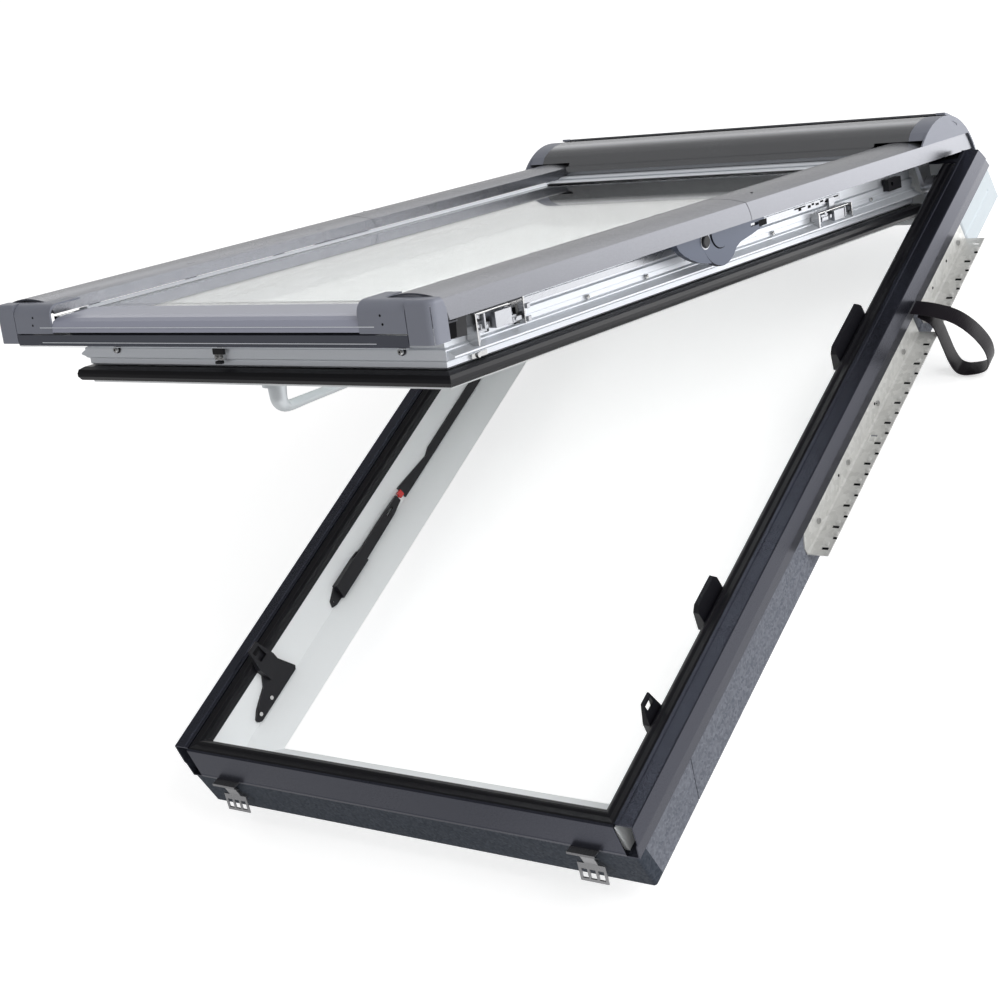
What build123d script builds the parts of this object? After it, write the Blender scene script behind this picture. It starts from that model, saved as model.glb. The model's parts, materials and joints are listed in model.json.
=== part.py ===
from build123d import *
import math
import os

# Roof skylight, top-hung and pivoting, shown open.
# All pieces are drawn with the window closed: X across, Y up the slope from the bottom lip,
# Z outwards from the plane of the frame's lips. They are then swung open and set on the
# underside of the frame, with the origin at its centre.

# Overall sizes
lip_half = 330.0            # half the clear width between the lips of the frame
lip_length = 1128.0         # from the bottom lip to the top lip
frame_depth = 104.0         # from the lips down to the underside
open_angle = 32.0           # how far the sash stands open on its top hinge

# Frame profile, measured outwards from the lip line, heights from the lips
wall_out = 15.0             # outer face of the plastic under the covers
foot_out = 5.0              # outer face of the plastic behind the insulation
step_z = -50.0              # underside of the covers and top of the insulation
profile_top = -6.0
ledge_crease = (-17.8, -56.4)
nose = (-58.4, -81.0)
nose_foot = (-31.0, -frame_depth)
wall_upright = -24.0        # wall above the ledge's end, where the sash swings through
ledge_end = lip_length - 338.0      # the ledge stops here so that the sash's head can swing in
head_fall = lip_length - 19.7       # the head of the frame falls away from here, under the hood
lining_groove = (-18.0, -24.0, 8.0)

# Covers and insulation of the frame
strip_out = 40.0            # outer edge of the side strips
strip_wall = 1.6
brow = 0.42                 # height of the bead line on the strips, as a share of their depth
foam_out = 28.6             # outer face of the side insulation
front_out = 23.0            # outer face of the bottom insulation
back_out = 26.0             # outer face of the top insulation
foam_groove = 3.0
fit = 0.2                   # gap between faces that lie against each other

# Top hinge and pivot axes
hinge_y = lip_length - 49.0
hinge_z = -18.5
pivot_y = 528.0
pivot_z = 16.0
hinge_pin_r = 5.0
stud_r = 7.0
running_fit = 0.05

# Sash profile
sash_half = lip_half - 49.0
sash_low = 47.0
sash_high = hinge_y + 3.0
sash_top = 20.0
fin_out = 12.0
fin_z = -29.6
lining_z = -43.5
sash_floor = -64.0
rail = 62.0                 # width of the sash rails as seen from the room
seal_out = 12.0

# Glass
pane_thick = 4.0
pane_gap = 16.0
glass_top = 27.0
glass_half = sash_half - 13.0
glass_low = -4.0
glass_high = sash_high - 16.0
inner_low = sash_low + 15.0

# Covers of the sash
cover_out = lip_half + 7.0
cover_in = sash_half - 19.0
cover_low = 20.0
cover_brow = 43.0
cover_crown = 50.0
cover_wall = 2.0
cover_start = -3.0
seam_r = 41.5               # the covers part on a circle about the pivot
seam_gap = 1.0
cap_front = -33.0
cap_out = cover_out + 2.0
cap_top = 46.0
cap_inner = cover_in - 22.0
cap_split = cover_in + 42.0
front_step = (10.6, 13.7)   # gap between the lower and the upper front cover
front_top = 30.0

# Hood
hood_r = 94.0
hood_wall = 2.5
hood_front_angle = 123.0
hood_back_angle = 21.0
hood_foot = (hinge_y - 62.0, 46.0)
hood_half = cover_out - 24.0
hood_cap_half = hood_half + 27.0
band_gap = 2.0
band_wall = 2.5
band_front_angle = 45.0
band_back_angle = -30.0
band_half = hood_half + 3.0
band_cap_half = band_half + 14.0

# Arms inside the upper covers
arm_x = sash_half + 21.0
arm_thick = 6.0
arm_bar = (24.0, 38.0)
housing_x = arm_x + arm_thick + 3.0
housing_thick = 6.0
housing_r = 42.0
shell_gap = 1.2
shell_wide = 8.0

# Small pieces
cover_reach = lip_half + wall_out
foam_joint_y = 110.0
sheet = 1.5                 # galvanised sheet of the mounting angles
leg_z = -79.5
leg_out = 30.0
slot_pitch = 18.0
screw_head_r = 3.6
angle_runs = ((455.0, 395.0, (45, 145, 250, 345)), (868.0, 166.0, (22, 144)))
guide_runs = ((282.0, 338.0, 46.0), (722.0, 812.0, 42.0))
clip_width = 40.0
clip_places = (33.0 - lip_half, lip_half - 45.0)
strap_y = 840.0
strap_width = 25.0
strap_thick = 2.4
wall_top = (-6.0, -6.6)     # upper edge of the sloped wall, from the lip line
wall_mark = -30.0
stay_y = 364.0
stay_z = -18.0
stay_pin_r = 2.5
stem_r = 1.2
fixing_r = 2.4
lock_low = 118.0            # foot of the lower latch; the striker plate lies beside it
lock_high = hinge_y - 237.0
lip_clear = (-9.0, -12.0)   # space kept for the inner lip of the gasket
bracket_r = 14.0
eye_r = 11.0
arm_end_y = hinge_y - 17.0
hub_r = 22.0
dome_r = 20.0
rib_long = 12.0
bead_top = 30.0
bead_start = 37.0
handle_y = 75.0
handle_low = -99.5
handle_reach = 128.0
handle_neck_r = 7.0

os.makedirs("parts", exist_ok=True)


def polygon(points):
    """A flat face inside a closed run of straight edges."""
    return make_face(Polyline(*points, close=True))


def ring(points, half, low, high):
    """A closed section carried round a rectangle with mitred corners."""
    path = Polyline((0, low), (half, low), (half, high), (-half, high), (-half, low), (0, low))
    plane = Plane(origin=(0, low, 0), x_dir=(0, -1, 0), z_dir=(-1, 0, 0))
    return sweep(plane * polygon(points), path=path, transition=Transition.RIGHT)


def along_y(points, start, end):
    """A section in X and Z carried along Y."""
    plane = Plane(origin=(0, start, 0), x_dir=(1, 0, 0), z_dir=(0, -1, 0))
    return extrude(plane * polygon(points), -(end - start))


def along_x(points, start, end):
    """A section in Y and Z carried along X."""
    plane = Plane(origin=(start, 0, 0), x_dir=(0, 1, 0), z_dir=(1, 0, 0))
    return extrude(plane * polygon(points), end - start)


def face_along_x(face, start, end):
    """A face drawn in Y and Z carried along X."""
    plane = Plane(origin=(start, 0, 0), x_dir=(0, 1, 0), z_dir=(1, 0, 0))
    return extrude(plane * face, end - start)


def block(x0, x1, y0, y1, z0, z1):
    """A box between two corners."""
    corner = (Align.MIN, Align.MIN, Align.MIN)
    return Pos(x0, y0, z0) * Box(x1 - x0, y1 - y0, z1 - z0, align=corner)


def rod_x(radius, x0, x1, y, z):
    """A round bar along X."""
    return Pos((x0 + x1) / 2, y, z) * Rot(0, 90, 0) * Cylinder(radius, x1 - x0)


def rod_y(radius, x, y0, y1, z):
    """A round bar along Y."""
    return Pos(x, (y0 + y1) / 2, z) * Rot(90, 0, 0) * Cylinder(radius, y1 - y0)


def rod_z(radius, x, y, z0, z1):
    """A round bar along Z."""
    return Pos(x, y, (z0 + z1) / 2) * Cylinder(radius, z1 - z0)


def other_side(shape):
    """The same piece on the left of the window."""
    return mirror(shape, about=Plane.YZ)


def group(shapes):
    """Separate solids kept together as one set."""
    return Compound(children=[solid for shape in shapes for solid in shape.solids()])


def seat(shape):
    """Sets a piece on the underside of the frame, about the middle of the window."""
    return Pos(0, -lip_length / 2, frame_depth) * shape


def swing(shape):
    """Swings a piece open about the top hinge, then sets it in place."""
    turned = Pos(0, hinge_y, hinge_z) * Rot(-open_angle, 0, 0) * Pos(0, -hinge_y, -hinge_z) * shape
    return seat(turned)


def write(name, shape):
    """Writes one piece to its own file."""
    export_step(shape, "parts/" + name + ".step")


def polar(radius, degrees, y=hinge_y, z=hinge_z):
    """A point on a circle about an axis along X."""
    turn = math.radians(degrees)
    return (y + radius * math.cos(turn), z + radius * math.sin(turn))


# Frame

def frame_profile():
    section = [
        (wall_out, profile_top), (wall_out, step_z), (foot_out, step_z), (foot_out, -frame_depth),
        (lining_groove[0], -frame_depth), (lining_groove[0], -frame_depth + lining_groove[2]),
        (lining_groove[1], -frame_depth + lining_groove[2]), (lining_groove[1], -frame_depth),
        nose_foot, nose, ledge_crease, (-6.0, profile_top - 0.6), (-6.0, profile_top),
    ]
    body = ring(section, lip_half, 0, lip_length)
    free = lip_half + wall_upright
    body -= block(-free, free, ledge_end, lip_length + nose[0], -frame_depth - 1, -20)
    fall = head_fall + frame_depth
    body -= along_x([(head_fall, 0), (fall, -frame_depth), (fall, 0)], -400, 400)
    return body


def frame_gasket():
    lip = [
        (13.6, profile_top), (13.6, -1.6), (11.4, -0.6), (4.6, -1.8), (2.0, 0.4), (0, 0.4),
        (-4.0, -1.6), (-7.2, -6.0), (-8.6, -11.4), (-7.4, -11.4), (-6.2, -6.7),
        (-6.2, profile_top),
    ]
    body = ring(lip, lip_half, 0, lip_length)
    return body - block(-400, 400, head_fall + profile_top, lip_length + 40, -20, 5)


def strip_section(out):
    """Hollow aluminium strip: flat top with a bead, leaning face, black foot strip."""
    low = step_z
    brow_z = low * (1 - brow)
    wall = strip_wall
    inside = wall_out
    foot = foam_out + 2.0
    return [
        (inside, -0.8), (20.0, -0.8), (20.7, 0.6), (21.6, -0.6), (out - 1.2, -0.6), (out, -1.8),
        (out - 2.4, brow_z), (out - 4.8, brow_z - 1.8), (foot + 1.4, low), (inside, low),
        (inside, low + wall), (foot - 0.2, low + wall), (out - 6.6, brow_z - 2.2),
        (out - 4.2, brow_z + 0.6), (out - wall - 0.4, -2.6), (inside, -0.8 - wall),
    ]


def side_strip():
    points = [(lip_half + x, z) for x, z in strip_section(strip_out)]
    body = along_y(points, -front_out, lip_length + back_out)
    side = (lip_half, lip_half + 2 * strip_out)
    top = lip_length + back_out
    head = [(lip_length, 2), (top, step_z), (top, step_z - 2), (top + 9, step_z - 2), (top + 9, 2)]
    body -= along_x(head, *side)
    tail = [(-12, 2), (-front_out, step_z), (-front_out, step_z - 2), (-60, step_z - 2), (-60, 2)]
    return body - along_x(tail, *side)


def front_cover():
    out = front_out
    low = step_z
    section = [
        (-13.8, -0.8), (-16.4, -2.4), (-out + 0.6, low + 6), (-out, low + 4), (-out, low),
        (-wall_out - fit, low), (-wall_out - fit, low + strip_wall),
        (-out + strip_wall, low + strip_wall), (-out + strip_wall, low + 6), (-16.0, -5.6),
        (-13.8, -3.0),
    ]
    return along_x(section, fit - cover_reach, cover_reach - fit)


def top_cover():
    top = lip_length + back_out
    outer = head_fall + 2.4
    inner = head_fall + fit
    z = -0.9
    low = z - strip_wall
    section = [
        (head_fall - 3, z), (outer - z, z), (top, outer - top), (top, step_z),
        (top - strip_wall, step_z), (top - strip_wall, inner - top + strip_wall),
        (inner - low, low), (head_fall - 3, low),
    ]
    return along_x(section, fit - cover_reach, cover_reach - fit)


def insulation_side():
    x = lip_half + foam_out
    mid = (step_z - frame_depth) / 2
    body = block(lip_half + foot_out, x, -foot_out, lip_length + foot_out, -frame_depth, step_z)
    vee = [(x + 1, mid + foam_groove), (x - foam_groove / 2, mid), (x + 1, mid - foam_groove)]
    body -= along_y(vee, -2 * foot_out, lip_length + 2 * foot_out)
    joint = Pos(x, foam_joint_y, mid) * Rot(-25, 0, 0) * Box(foam_groove, 1.5, 2 * frame_depth)
    return body - joint


def insulation_end(inner, outer):
    wide = lip_half + foam_out
    low, high = sorted((inner, outer))
    body = block(-wide, wide, low, high, -frame_depth, step_z)
    edges = [e for e in body.edges().filter_by(Axis.Z) if abs(e.center().Y - outer) < 1]
    return fillet(edges, 4)


def mounting_angle(start, length, tab):
    """Galvanised angle: upright leg on the foam, flat leg outwards with slots in two rows."""
    x = lip_half + foam_out + fit
    upright = block(x, x + sheet, start, start + length, leg_z, step_z - 0.6)
    flat = block(x, x + leg_out, start, start + length, leg_z, leg_z + sheet)
    body = upright + flat
    for step in range(int(length // slot_pitch)):
        y = start + slot_pitch * (step + 0.6)
        inner = leg_out - (5 if step % 2 else 13)
        body -= block(x + inner, x + inner + 9, y - 1.5, y + 1.5, leg_z - 1, leg_z + 2 * sheet)
    if tab:
        middle = start + length / 2
        body -= block(x + 6, x + 16, middle - 9, middle + 8, leg_z - 1, leg_z + 2 * sheet)
        body += block(x + 7, x + 15, middle - 9, middle + 5, leg_z, leg_z + sheet)
    corner = [(start - 1, step_z), (start + 12, step_z), (start - 1, leg_z + 10)]
    return body - along_x(corner, x - 1, x + 2 * sheet)


def angle_screws(places):
    x = lip_half + foam_out + fit + sheet
    return [rod_x(screw_head_r, x, x + 2.2, y, -66) for y in places]


def spring_clip(x):
    """Stainless clip: hooked top leg, waist, and a foot plate with three windows."""
    face = -front_out
    leg = [
        (face, -50.6), (face - 9.0, -48.4), (face - 9.4, -50.0), (face - 3.6, -60.0),
        (face - 3.6, -72.0), (face - 14.0, -96.0), (face - 15.4, -95.4), (face - 5.0, -71.6),
        (face - 5.0, -59.6), (face - 11.0, -49.4), (face - 9.6, -46.9), (face, -49.0),
    ]
    half = clip_width / 2
    body = along_x(leg, x - half, x + half)
    for side in (-1, 1):
        body -= Pos(x + side * half, face - 4, -65) * Box(half, 12, 16)
    for shift in (-1, 0, 1):
        body -= Pos(x + shift * half * 0.6, face - 11, -86) * Box(half * 0.42, 14, 12)
    return body + block(x - 5, x + 5, face - 4.4, face, -70, -61)


def outline(curve, distance, steps=56):
    """A closed outline a set distance outside a curve that runs clockwise."""
    points = []
    for step in range(steps):
        here = curve @ (step / steps)
        along = curve % (step / steps)
        points.append((here.X - distance * along.Y, here.Y + distance * along.X))
    return polygon(points)


def carrying_strap():
    """Loop of webbing: a closed teardrop band, its width along Y, with a sewn tail."""
    anchor = lip_half + strip_out
    curve = Spline(
        (anchor + 38, -32), (anchor + 72, -50), (anchor + 90, -86), (anchor + 76, -124),
        (anchor + 46, -148), (anchor + 26, -136), (anchor + 24, -98), (anchor + 25, -56),
        periodic=True,
    )
    tail = polygon([(anchor - 2, -27.4), (anchor + 52, -30), (anchor + 52, -40), (anchor - 2, -30)])
    face = outline(curve, strap_thick) + tail - outline(curve, 0)
    plane = Plane(origin=(0, strap_y + strap_width, 0), x_dir=(1, 0, 0), z_dir=(0, -1, 0))
    return extrude(plane * face, strap_width)


def on_wall(shape):
    """Leans a piece drawn against X = 0 on to the sloped wall, clear of the gasket's lip."""
    rise = wall_top[1] - ledge_crease[1]
    run = wall_top[0] - ledge_crease[0]
    x = lip_half + wall_top[0] - run * (wall_top[1] - wall_mark) / rise
    lean = math.degrees(math.atan2(run, rise))
    placed = Pos(x - fit / 2, 0, wall_mark) * Rot(0, lean, 0) * shape
    return placed - block(lip_half + lip_clear[0], cover_reach, -50, 1300, lip_clear[1], 60)


def striker_plate():
    """Catch for the bottom lock: rounded plate, block, and a head that stands above the lip."""
    plate = [(-48, -20), (-40, -26), (50, -26), (54, -22), (40, 14), (12, 14), (-2, 0), (-32, -10)]
    body = along_x(plate, -4, 0)
    rounded = [e for e in body.edges().filter_by(Axis.X) if e.center().Y < -38]
    body = fillet(rounded, 4)
    body += along_x([(10, 0), (38, 0), (40, 20), (34, 52), (16, 52), (8, 22)], -12, 0)
    body -= block(-13, -6, 18, 32, 28, 46)
    for y in (-34, -6):
        body -= rod_x(1.6, -5, 1, y, -18)
    return on_wall(Pos(0, lock_low, 0) * body)


def wall_screws(places):
    heads = [on_wall(rod_x(2.8, -5.6, -4 - fit / 2, y, z)) for y, z in places]
    return heads


def stay_base():
    """Black block of the stay, with a foot for its screw and a fork for the arm."""
    foot = along_x([(-88, -6), (-80, -9), (8, -9), (8, 8), (-64, 10), (-84, 2)], -3, 0)
    foot += along_x([(-68, -9), (2, -9), (2, 10), (-12, 11.5), (-64, 11.5)], -10, 0)
    foot -= block(-8, -3.4, -12, 10, -10, 12)
    foot -= rod_x(1.6, -4, 1, -80, -3)
    foot += rod_x(stay_pin_r, -9, -3.2, 0, 0)
    return on_wall(Pos(0, stay_y, stay_z) * foot)


def stay_arm():
    """Lever between the base and the button, pivoted in the fork of the base."""
    arm = along_x([(-9, -2), (-2, -8), (88, -6), (110, -2), (110, 8), (76, 9), (-2, 9)], -7.6, -3.8)
    slot = along_x([(76, 0), (92, 1), (92, 4), (76, 4)], -9, -2)
    slot += rod_x(stay_pin_r + running_fit, -9, -2, 0, 0)
    slot += rod_y(stem_r + running_fit, -5.7, 97, 111, 3)
    return on_wall(Pos(0, stay_y, stay_z) * (arm - slot))


def stay_button():
    """Red release button in the end of the lever."""
    button = block(-7.4, -4.0, 113.4, 122, -1.4, 7.4) + rod_y(stem_r, -5.7, 104, 114, 3)
    return on_wall(Pos(0, stay_y, stay_z) * button)


def stay_rail():
    """Flat black rail along the corner of the rebate that the lever runs on."""
    rail = along_x([(123, -9), (406, -9), (406, 4), (210, 4), (196, 0), (123, 10)], -3, 0)
    return on_wall(Pos(0, stay_y, stay_z) * rail)


def guide_block(y0, y1, high):
    """Black guide on the side wall, standing above the lip."""
    body = along_x([(y0 - 14, -12), (y1 + 10, -12), (y1 + 10, 0), (y1, high - 30), (y1 - 4, high),
                    (y0 + 6, high), (y0, high - 8), (y0, 0), (y0 - 14, -2)], -4, 0)
    body += along_x([(y0, 4), (y1, 4), (y1, high - 6), (y1 - 4, high), (y0 + 6, high),
                     (y0, high - 8)], -14, 0)
    return on_wall(body)


def hinge_bracket():
    """Block on the side wall that holds the fixed pin of the top hinge."""
    cheek = Pos(hinge_y, hinge_z) * Circle(bracket_r)
    foot = polygon([(hinge_y - 30, hinge_z - 24), (hinge_y + 14, hinge_z - 24),
                    (hinge_y + bracket_r, hinge_z), (hinge_y - bracket_r, hinge_z),
                    (hinge_y - 30, hinge_z - 16)])
    start = arm_x + arm_thick + fit
    body = face_along_x(cheek + foot, start, lip_half + lip_clear[0])
    top = (lip_half + wall_top[0] - fit, wall_top[1])
    low = (lip_half + ledge_crease[0] - fit, ledge_crease[1])
    wall = [top, low, (cover_reach, ledge_crease[1]), (cover_reach, wall_top[1])]
    return body - along_y(wall, hinge_y - 90, hinge_y + 90)


def hinge_pin():
    """Pin of the top hinge, held in the bracket, with a head on the sash side."""
    start = arm_x - fit
    pin = rod_x(hinge_pin_r, start - 0.5, arm_x + arm_thick + fit, hinge_y, hinge_z)
    return pin + rod_x(hinge_pin_r + 2.5, start - 3.5, start, hinge_y, hinge_z)


def rear_band():
    """Fixed cover behind the hood: curved band with a flange on the head of the frame."""
    inner = hood_r + band_gap
    outer = inner + band_wall
    span = band_front_angle - band_back_angle
    centre = (hinge_y, hinge_z)
    face = make_face([
        CenterArc(centre, inner, band_back_angle, span),
        Line(polar(inner, band_front_angle), polar(outer, band_front_angle)),
        CenterArc(centre, outer, band_back_angle, span),
        Line(polar(outer, band_back_angle), polar(inner, band_back_angle)),
    ])
    back = lip_length + back_out + fit
    y, z = polar(outer, band_back_angle)
    face += polygon([(back, z - 1.4), (y, z - 1.4), (y, z + 0.6), (y - 2, z + 1.2), (back, z + 1.2)])
    face += polygon([(back, z - 28), (back + 1.6, z - 28), (back + 1.6, z), (back, z)])
    return face_along_x(face, -band_half, band_half)


def rear_band_end():
    """Moulded end of the rear band, flaring down to the head of the frame."""
    inner = hood_r + band_gap
    centre = (hinge_y, hinge_z)
    start = polar(inner + 3, band_front_angle)
    outer = ThreePointArc(polar(inner + 16, -12), polar(inner + 5.6, 16), start)
    back = lip_length + back_out + fit
    face = make_face([
        outer,
        Line(start, polar(inner, band_front_angle)),
        CenterArc(centre, inner, band_front_angle, -26 - band_front_angle),
        Line(polar(inner, -26), (back, -60.5)),
        Line((back, -60.5), (back, -68)),
        Line((back, -68), (back + 26, -58)),
        Line((back + 26, -58), outer @ 0),
    ])
    return face_along_x(face, band_half + fit, band_cap_half)


# Carrier: arms, upper covers, hood and pivot housings

def cover_section():
    """Shell of the side covers: upright outer wall, crowned top, short inner wall."""
    mid = (cover_out + cover_in) / 2
    outer = Line((cover_out, cover_low), (cover_out, cover_brow))
    crown = ThreePointArc(outer @ 1, (mid, cover_crown), (cover_in, cover_brow + 1))
    drop = Line(crown @ 1, (cover_in, bead_top + 0.4))
    edge = Line(drop @ 1, (cover_in + cover_wall, bead_top + 0.4))
    rise = Line(edge @ 1, (cover_in + cover_wall, cover_brow - 0.6))
    under = ThreePointArc(rise @ 1, (mid, cover_crown - cover_wall),
                          (cover_out - cover_wall, cover_brow - 1.4))
    inner = Line(under @ 1, (cover_out - cover_wall, cover_low))
    foot = Line(inner @ 1, outer @ 0)
    return make_face([outer, crown, drop, edge, rise, under, inner, foot])


def cover_run(start, end):
    plane = Plane(origin=(0, start, 0), x_dir=(1, 0, 0), z_dir=(0, -1, 0))
    return extrude(plane * cover_section(), start - end)


def ribs(x0, x1, z0, places):
    """Moulded feet inside a cover, down to the piece that carries it."""
    return [block(x0, x1, y, y + rib_long, z0, cover_crown - 1.5 * cover_wall) for y in places]


def upper_cover():
    body = cover_run(pivot_y, hinge_y + hood_r)
    for rib in ribs(arm_x - 2, arm_x + arm_thick + 2, arm_bar[1],
                    (pivot_y + 112, hinge_y - 259, hinge_y - 79)):
        body += rib
    body -= rod_x(seam_r + seam_gap, cover_in - 9, cover_out + 9, pivot_y, pivot_z)
    rear = block(cover_in - 9, cover_out + 9, pivot_y - 1, hinge_y, 0, 99)
    rear += rod_x(hood_r - hood_wall - 1, cover_in - 9, cover_out + 9, hinge_y, hinge_z)
    return body & rear


def hood_shell_face():
    front = polar(hood_r, hood_front_angle)
    inner_r = hood_r - hood_wall
    inner_front = polar(inner_r, hood_front_angle - 1)
    centre = (hinge_y, hinge_z)
    span = hood_front_angle - hood_back_angle
    outer = CenterArc(centre, hood_r, hood_back_angle, span)
    brow = Line(front, hood_foot)
    toe = Line(hood_foot, (hood_foot[0] + hood_wall, hood_foot[1]))
    back = Line(toe @ 1, inner_front)
    inner = CenterArc(centre, inner_r, hood_back_angle, span - 1)
    heel = Line(polar(inner_r, hood_back_angle), polar(hood_r, hood_back_angle))
    return make_face([outer, brow, toe, back, inner, heel])


def cover_clearance(side):
    """Space over a side cover that the hood leaves free."""
    a = side * (cover_in - 0.6)
    b = side * (cover_out + 0.4)
    return block(min(a, b), max(a, b), hood_foot[0] - 9, hinge_y, 0, cover_crown + 0.6)


def hood():
    body = face_along_x(hood_shell_face(), -hood_half, hood_half)
    return body - cover_clearance(1) - cover_clearance(-1)


def hood_cap():
    """End cap of the hood: its rounded shell and the flat cheek beside the cover."""
    cheek = Pos(hinge_y, hinge_z) * Circle(hood_r)
    cheek += polygon([polar(hood_r, hood_front_angle), hood_foot, (hood_foot[0], cover_brow),
                      (hinge_y, cover_brow)])
    low = cover_brow + 0.5
    cheek &= Pos(hinge_y, low + hood_r) * Rectangle(4 * hood_r, 2 * hood_r)
    body = face_along_x(hood_shell_face(), hood_half + fit, hood_cap_half)
    body -= cover_clearance(1)
    body += face_along_x(cheek, cover_out + 0.6, hood_cap_half)
    slot = Pos(hood_cap_half, hinge_y + 29, 62) * Rot(-24, 0, 0) * Box(1.6, 13, 2.2)
    return body - slot


def arm():
    """Steel arm: hub at the pivot, bar inside the cover, eye at the top hinge."""
    hub = Pos(pivot_y, pivot_z) * Circle(hub_r)
    z0, z1 = arm_bar
    elbow = arm_end_y
    bar = polygon([
        (pivot_y, pivot_z - 12), (pivot_y + 46, pivot_z - 12), (pivot_y + 66, z0),
        (elbow, z0), (elbow, z1), (pivot_y + 54, z1), (pivot_y + 34, pivot_z + 8),
        (pivot_y, pivot_z + 8),
    ])
    eye = Pos(hinge_y, hinge_z) * Circle(eye_r)
    drop = polygon([(elbow - 16, z1), (elbow - 16, z0), (hinge_y - eye_r, hinge_z),
                    (hinge_y + eye_r, hinge_z), (elbow + 20, z0), (elbow + 14, z1)])
    body = face_along_x(hub + bar + eye + drop, arm_x, arm_x + arm_thick)
    body -= rod_x(stud_r + running_fit, arm_x - 1, arm_x + arm_thick + 1, pivot_y, pivot_z)
    body -= rod_x(hinge_pin_r + running_fit, arm_x - 1, arm_x + arm_thick + 1, hinge_y, hinge_z)
    return body


def pivot_housing():
    """Painted hook below the upper cover, with a shallow dome over the pivot."""
    below = Pos(pivot_y, pivot_z - 100 + cover_low - pivot_z - 0.3) * Rectangle(400, 200)
    disc = Pos(pivot_y, pivot_z) * Circle(housing_r)
    hook = polygon([
        (pivot_y, -26), (pivot_y + 10, -25), (pivot_y + 24, -14), (pivot_y + 44, -5),
        (pivot_y + 70, -1), (pivot_y + 94, 4), (pivot_y + 101, 10), (pivot_y + 102, 22),
        (pivot_y, 22),
    ])
    face = (disc + hook) & below
    body = face_along_x(face, housing_x, housing_x + housing_thick)
    body += face_along_x(Pos(pivot_y, pivot_z) * Circle(dome_r) & below,
                         housing_x + housing_thick, housing_x + housing_thick + 1.4)
    body += rod_x(16, arm_x + arm_thick + fit, housing_x, pivot_y, pivot_z)
    slot = block(housing_x - 1, housing_x + 9, pivot_y + 70, pivot_y + 88, 8, 12)
    return body - slot


# Sash

def sash_profile():
    section = [
        (0, sash_top), (0, 9), (-2.6, 7), (-2.6, -5), (0, -7), (0, -14), (-1, -15), (-1, -20),
        (2, -22), (2, -33), (-1, -35), (-1, -41), (-4, lining_z), (-12, lining_z), (-12, -2),
        (-36, -2), (-36, 2.6), (-12, 2.6), (-12, sash_top),
    ]
    body = ring(section, sash_half, sash_low, sash_high)
    fin = [(sash_half - 0.5, -22), (sash_half + fin_out, fin_z + 1), (sash_half + fin_out, fin_z - 0.8),
           (sash_half - 0.5, -34)]
    side = along_y(fin, sash_low, sash_high)
    return body + side + other_side(side)


def sash_lining():
    section = [
        (-12.2, -2.2), (-12.2, -60.5), (-1, -60.5), (-1, sash_floor), (-rail + 4, sash_floor),
        (-rail, sash_floor + 4), (-rail, -14), (-rail + 6, -2.2),
    ]
    return ring(section, sash_half, sash_low, sash_high)


def sash_seal():
    section = [
        (-12, -44.0), (5, -44.0), (10.5, -46.6), (seal_out, -51), (seal_out, -55), (9, -59.6),
        (4, -60.3), (-12, -60.3),
    ]
    return ring(section, sash_half, sash_low, sash_high)


def glazing_bead():
    """Silver trim over the edge of the glass, on the two sides and the top."""
    section = [
        (-1, sash_top + fit), (-1, sash_top + 2), (-10.5, sash_top + 2), (-10.5, bead_top - 1.6),
        (-18.6, bead_top - 1.2), (-19.4, bead_top), (-24, bead_top), (-28, glass_top + fit),
        (-12.6, glass_top + fit), (-12.6, sash_top + fit),
    ]
    body = ring(section, sash_half, bead_start - 2 * rail, sash_high)
    return body - block(-400, 400, bead_start - 3 * rail, bead_start, 0, 60)


def pane(low, z0):
    high = glass_high
    return block(-glass_half, glass_half, low, high, z0, z0 + pane_thick)


def pane_spacer():
    section = [(-2, 0), (-10, 0), (-10, pane_gap), (-2, pane_gap)]
    body = ring(section, glass_half, inner_low, glass_high)
    return Pos(0, 0, glass_top - pane_thick - pane_gap) * body


def lower_cover():
    body = cover_run(cover_start - 12, pivot_y + seam_r)
    for rib in ribs(sash_half - 10, sash_half - 1, sash_top + 2 + fit,
                    (60, 220, pivot_y - 148, pivot_y - 68)):
        body += rib
    keep = block(cover_in - 9, cover_out + 9, -60, pivot_y, 0, 99)
    keep += rod_x(seam_r, cover_in - 9, cover_out + 9, pivot_y, pivot_z)
    body &= keep
    slant = [(cover_start, cover_low - 1), (cover_start - 12, cover_crown + 1), (-60, cover_crown + 1),
             (-60, cover_low - 1)]
    return body - along_x(slant, cover_in - 9, cover_out + 9)


def bottom_cover():
    """Upper front cover: face, rounded brow and flat top over the edge of the glass."""
    f = cap_front
    low = front_step[1]
    top = front_top
    section = [
        (f, low), (f + 0.6, 20), (f + 3.5, 26), (f + 10, 29), (f + 20, top), (34, top + 0.4),
        (34, glass_top + fit), (31, glass_top + fit), (31, top - 1.4), (-4, top - 1.6),
        (-6, top - 1.6), (-6, front_step[0] + 0.1), (-8, front_step[0] + 0.1), (-8, top - 1.8),
        (f + 20, top - 2), (f + 11, 27), (f + 5, 24.4), (f + 2.6, 20), (f + 2, low),
    ]
    return along_x(section, -cap_inner + fit, cap_inner - fit)


def drip_cover():
    """Lower front cover, with its flange back to the sash."""
    f = cap_front
    z = front_step[0]
    back = sash_low - 0.1
    section = [(f, -2), (f, z), (back, z), (back, z - 1.6), (f + 1.6, z - 1.6), (f + 1.6, -2)]
    return along_x(section, -cap_split, cap_split)


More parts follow.
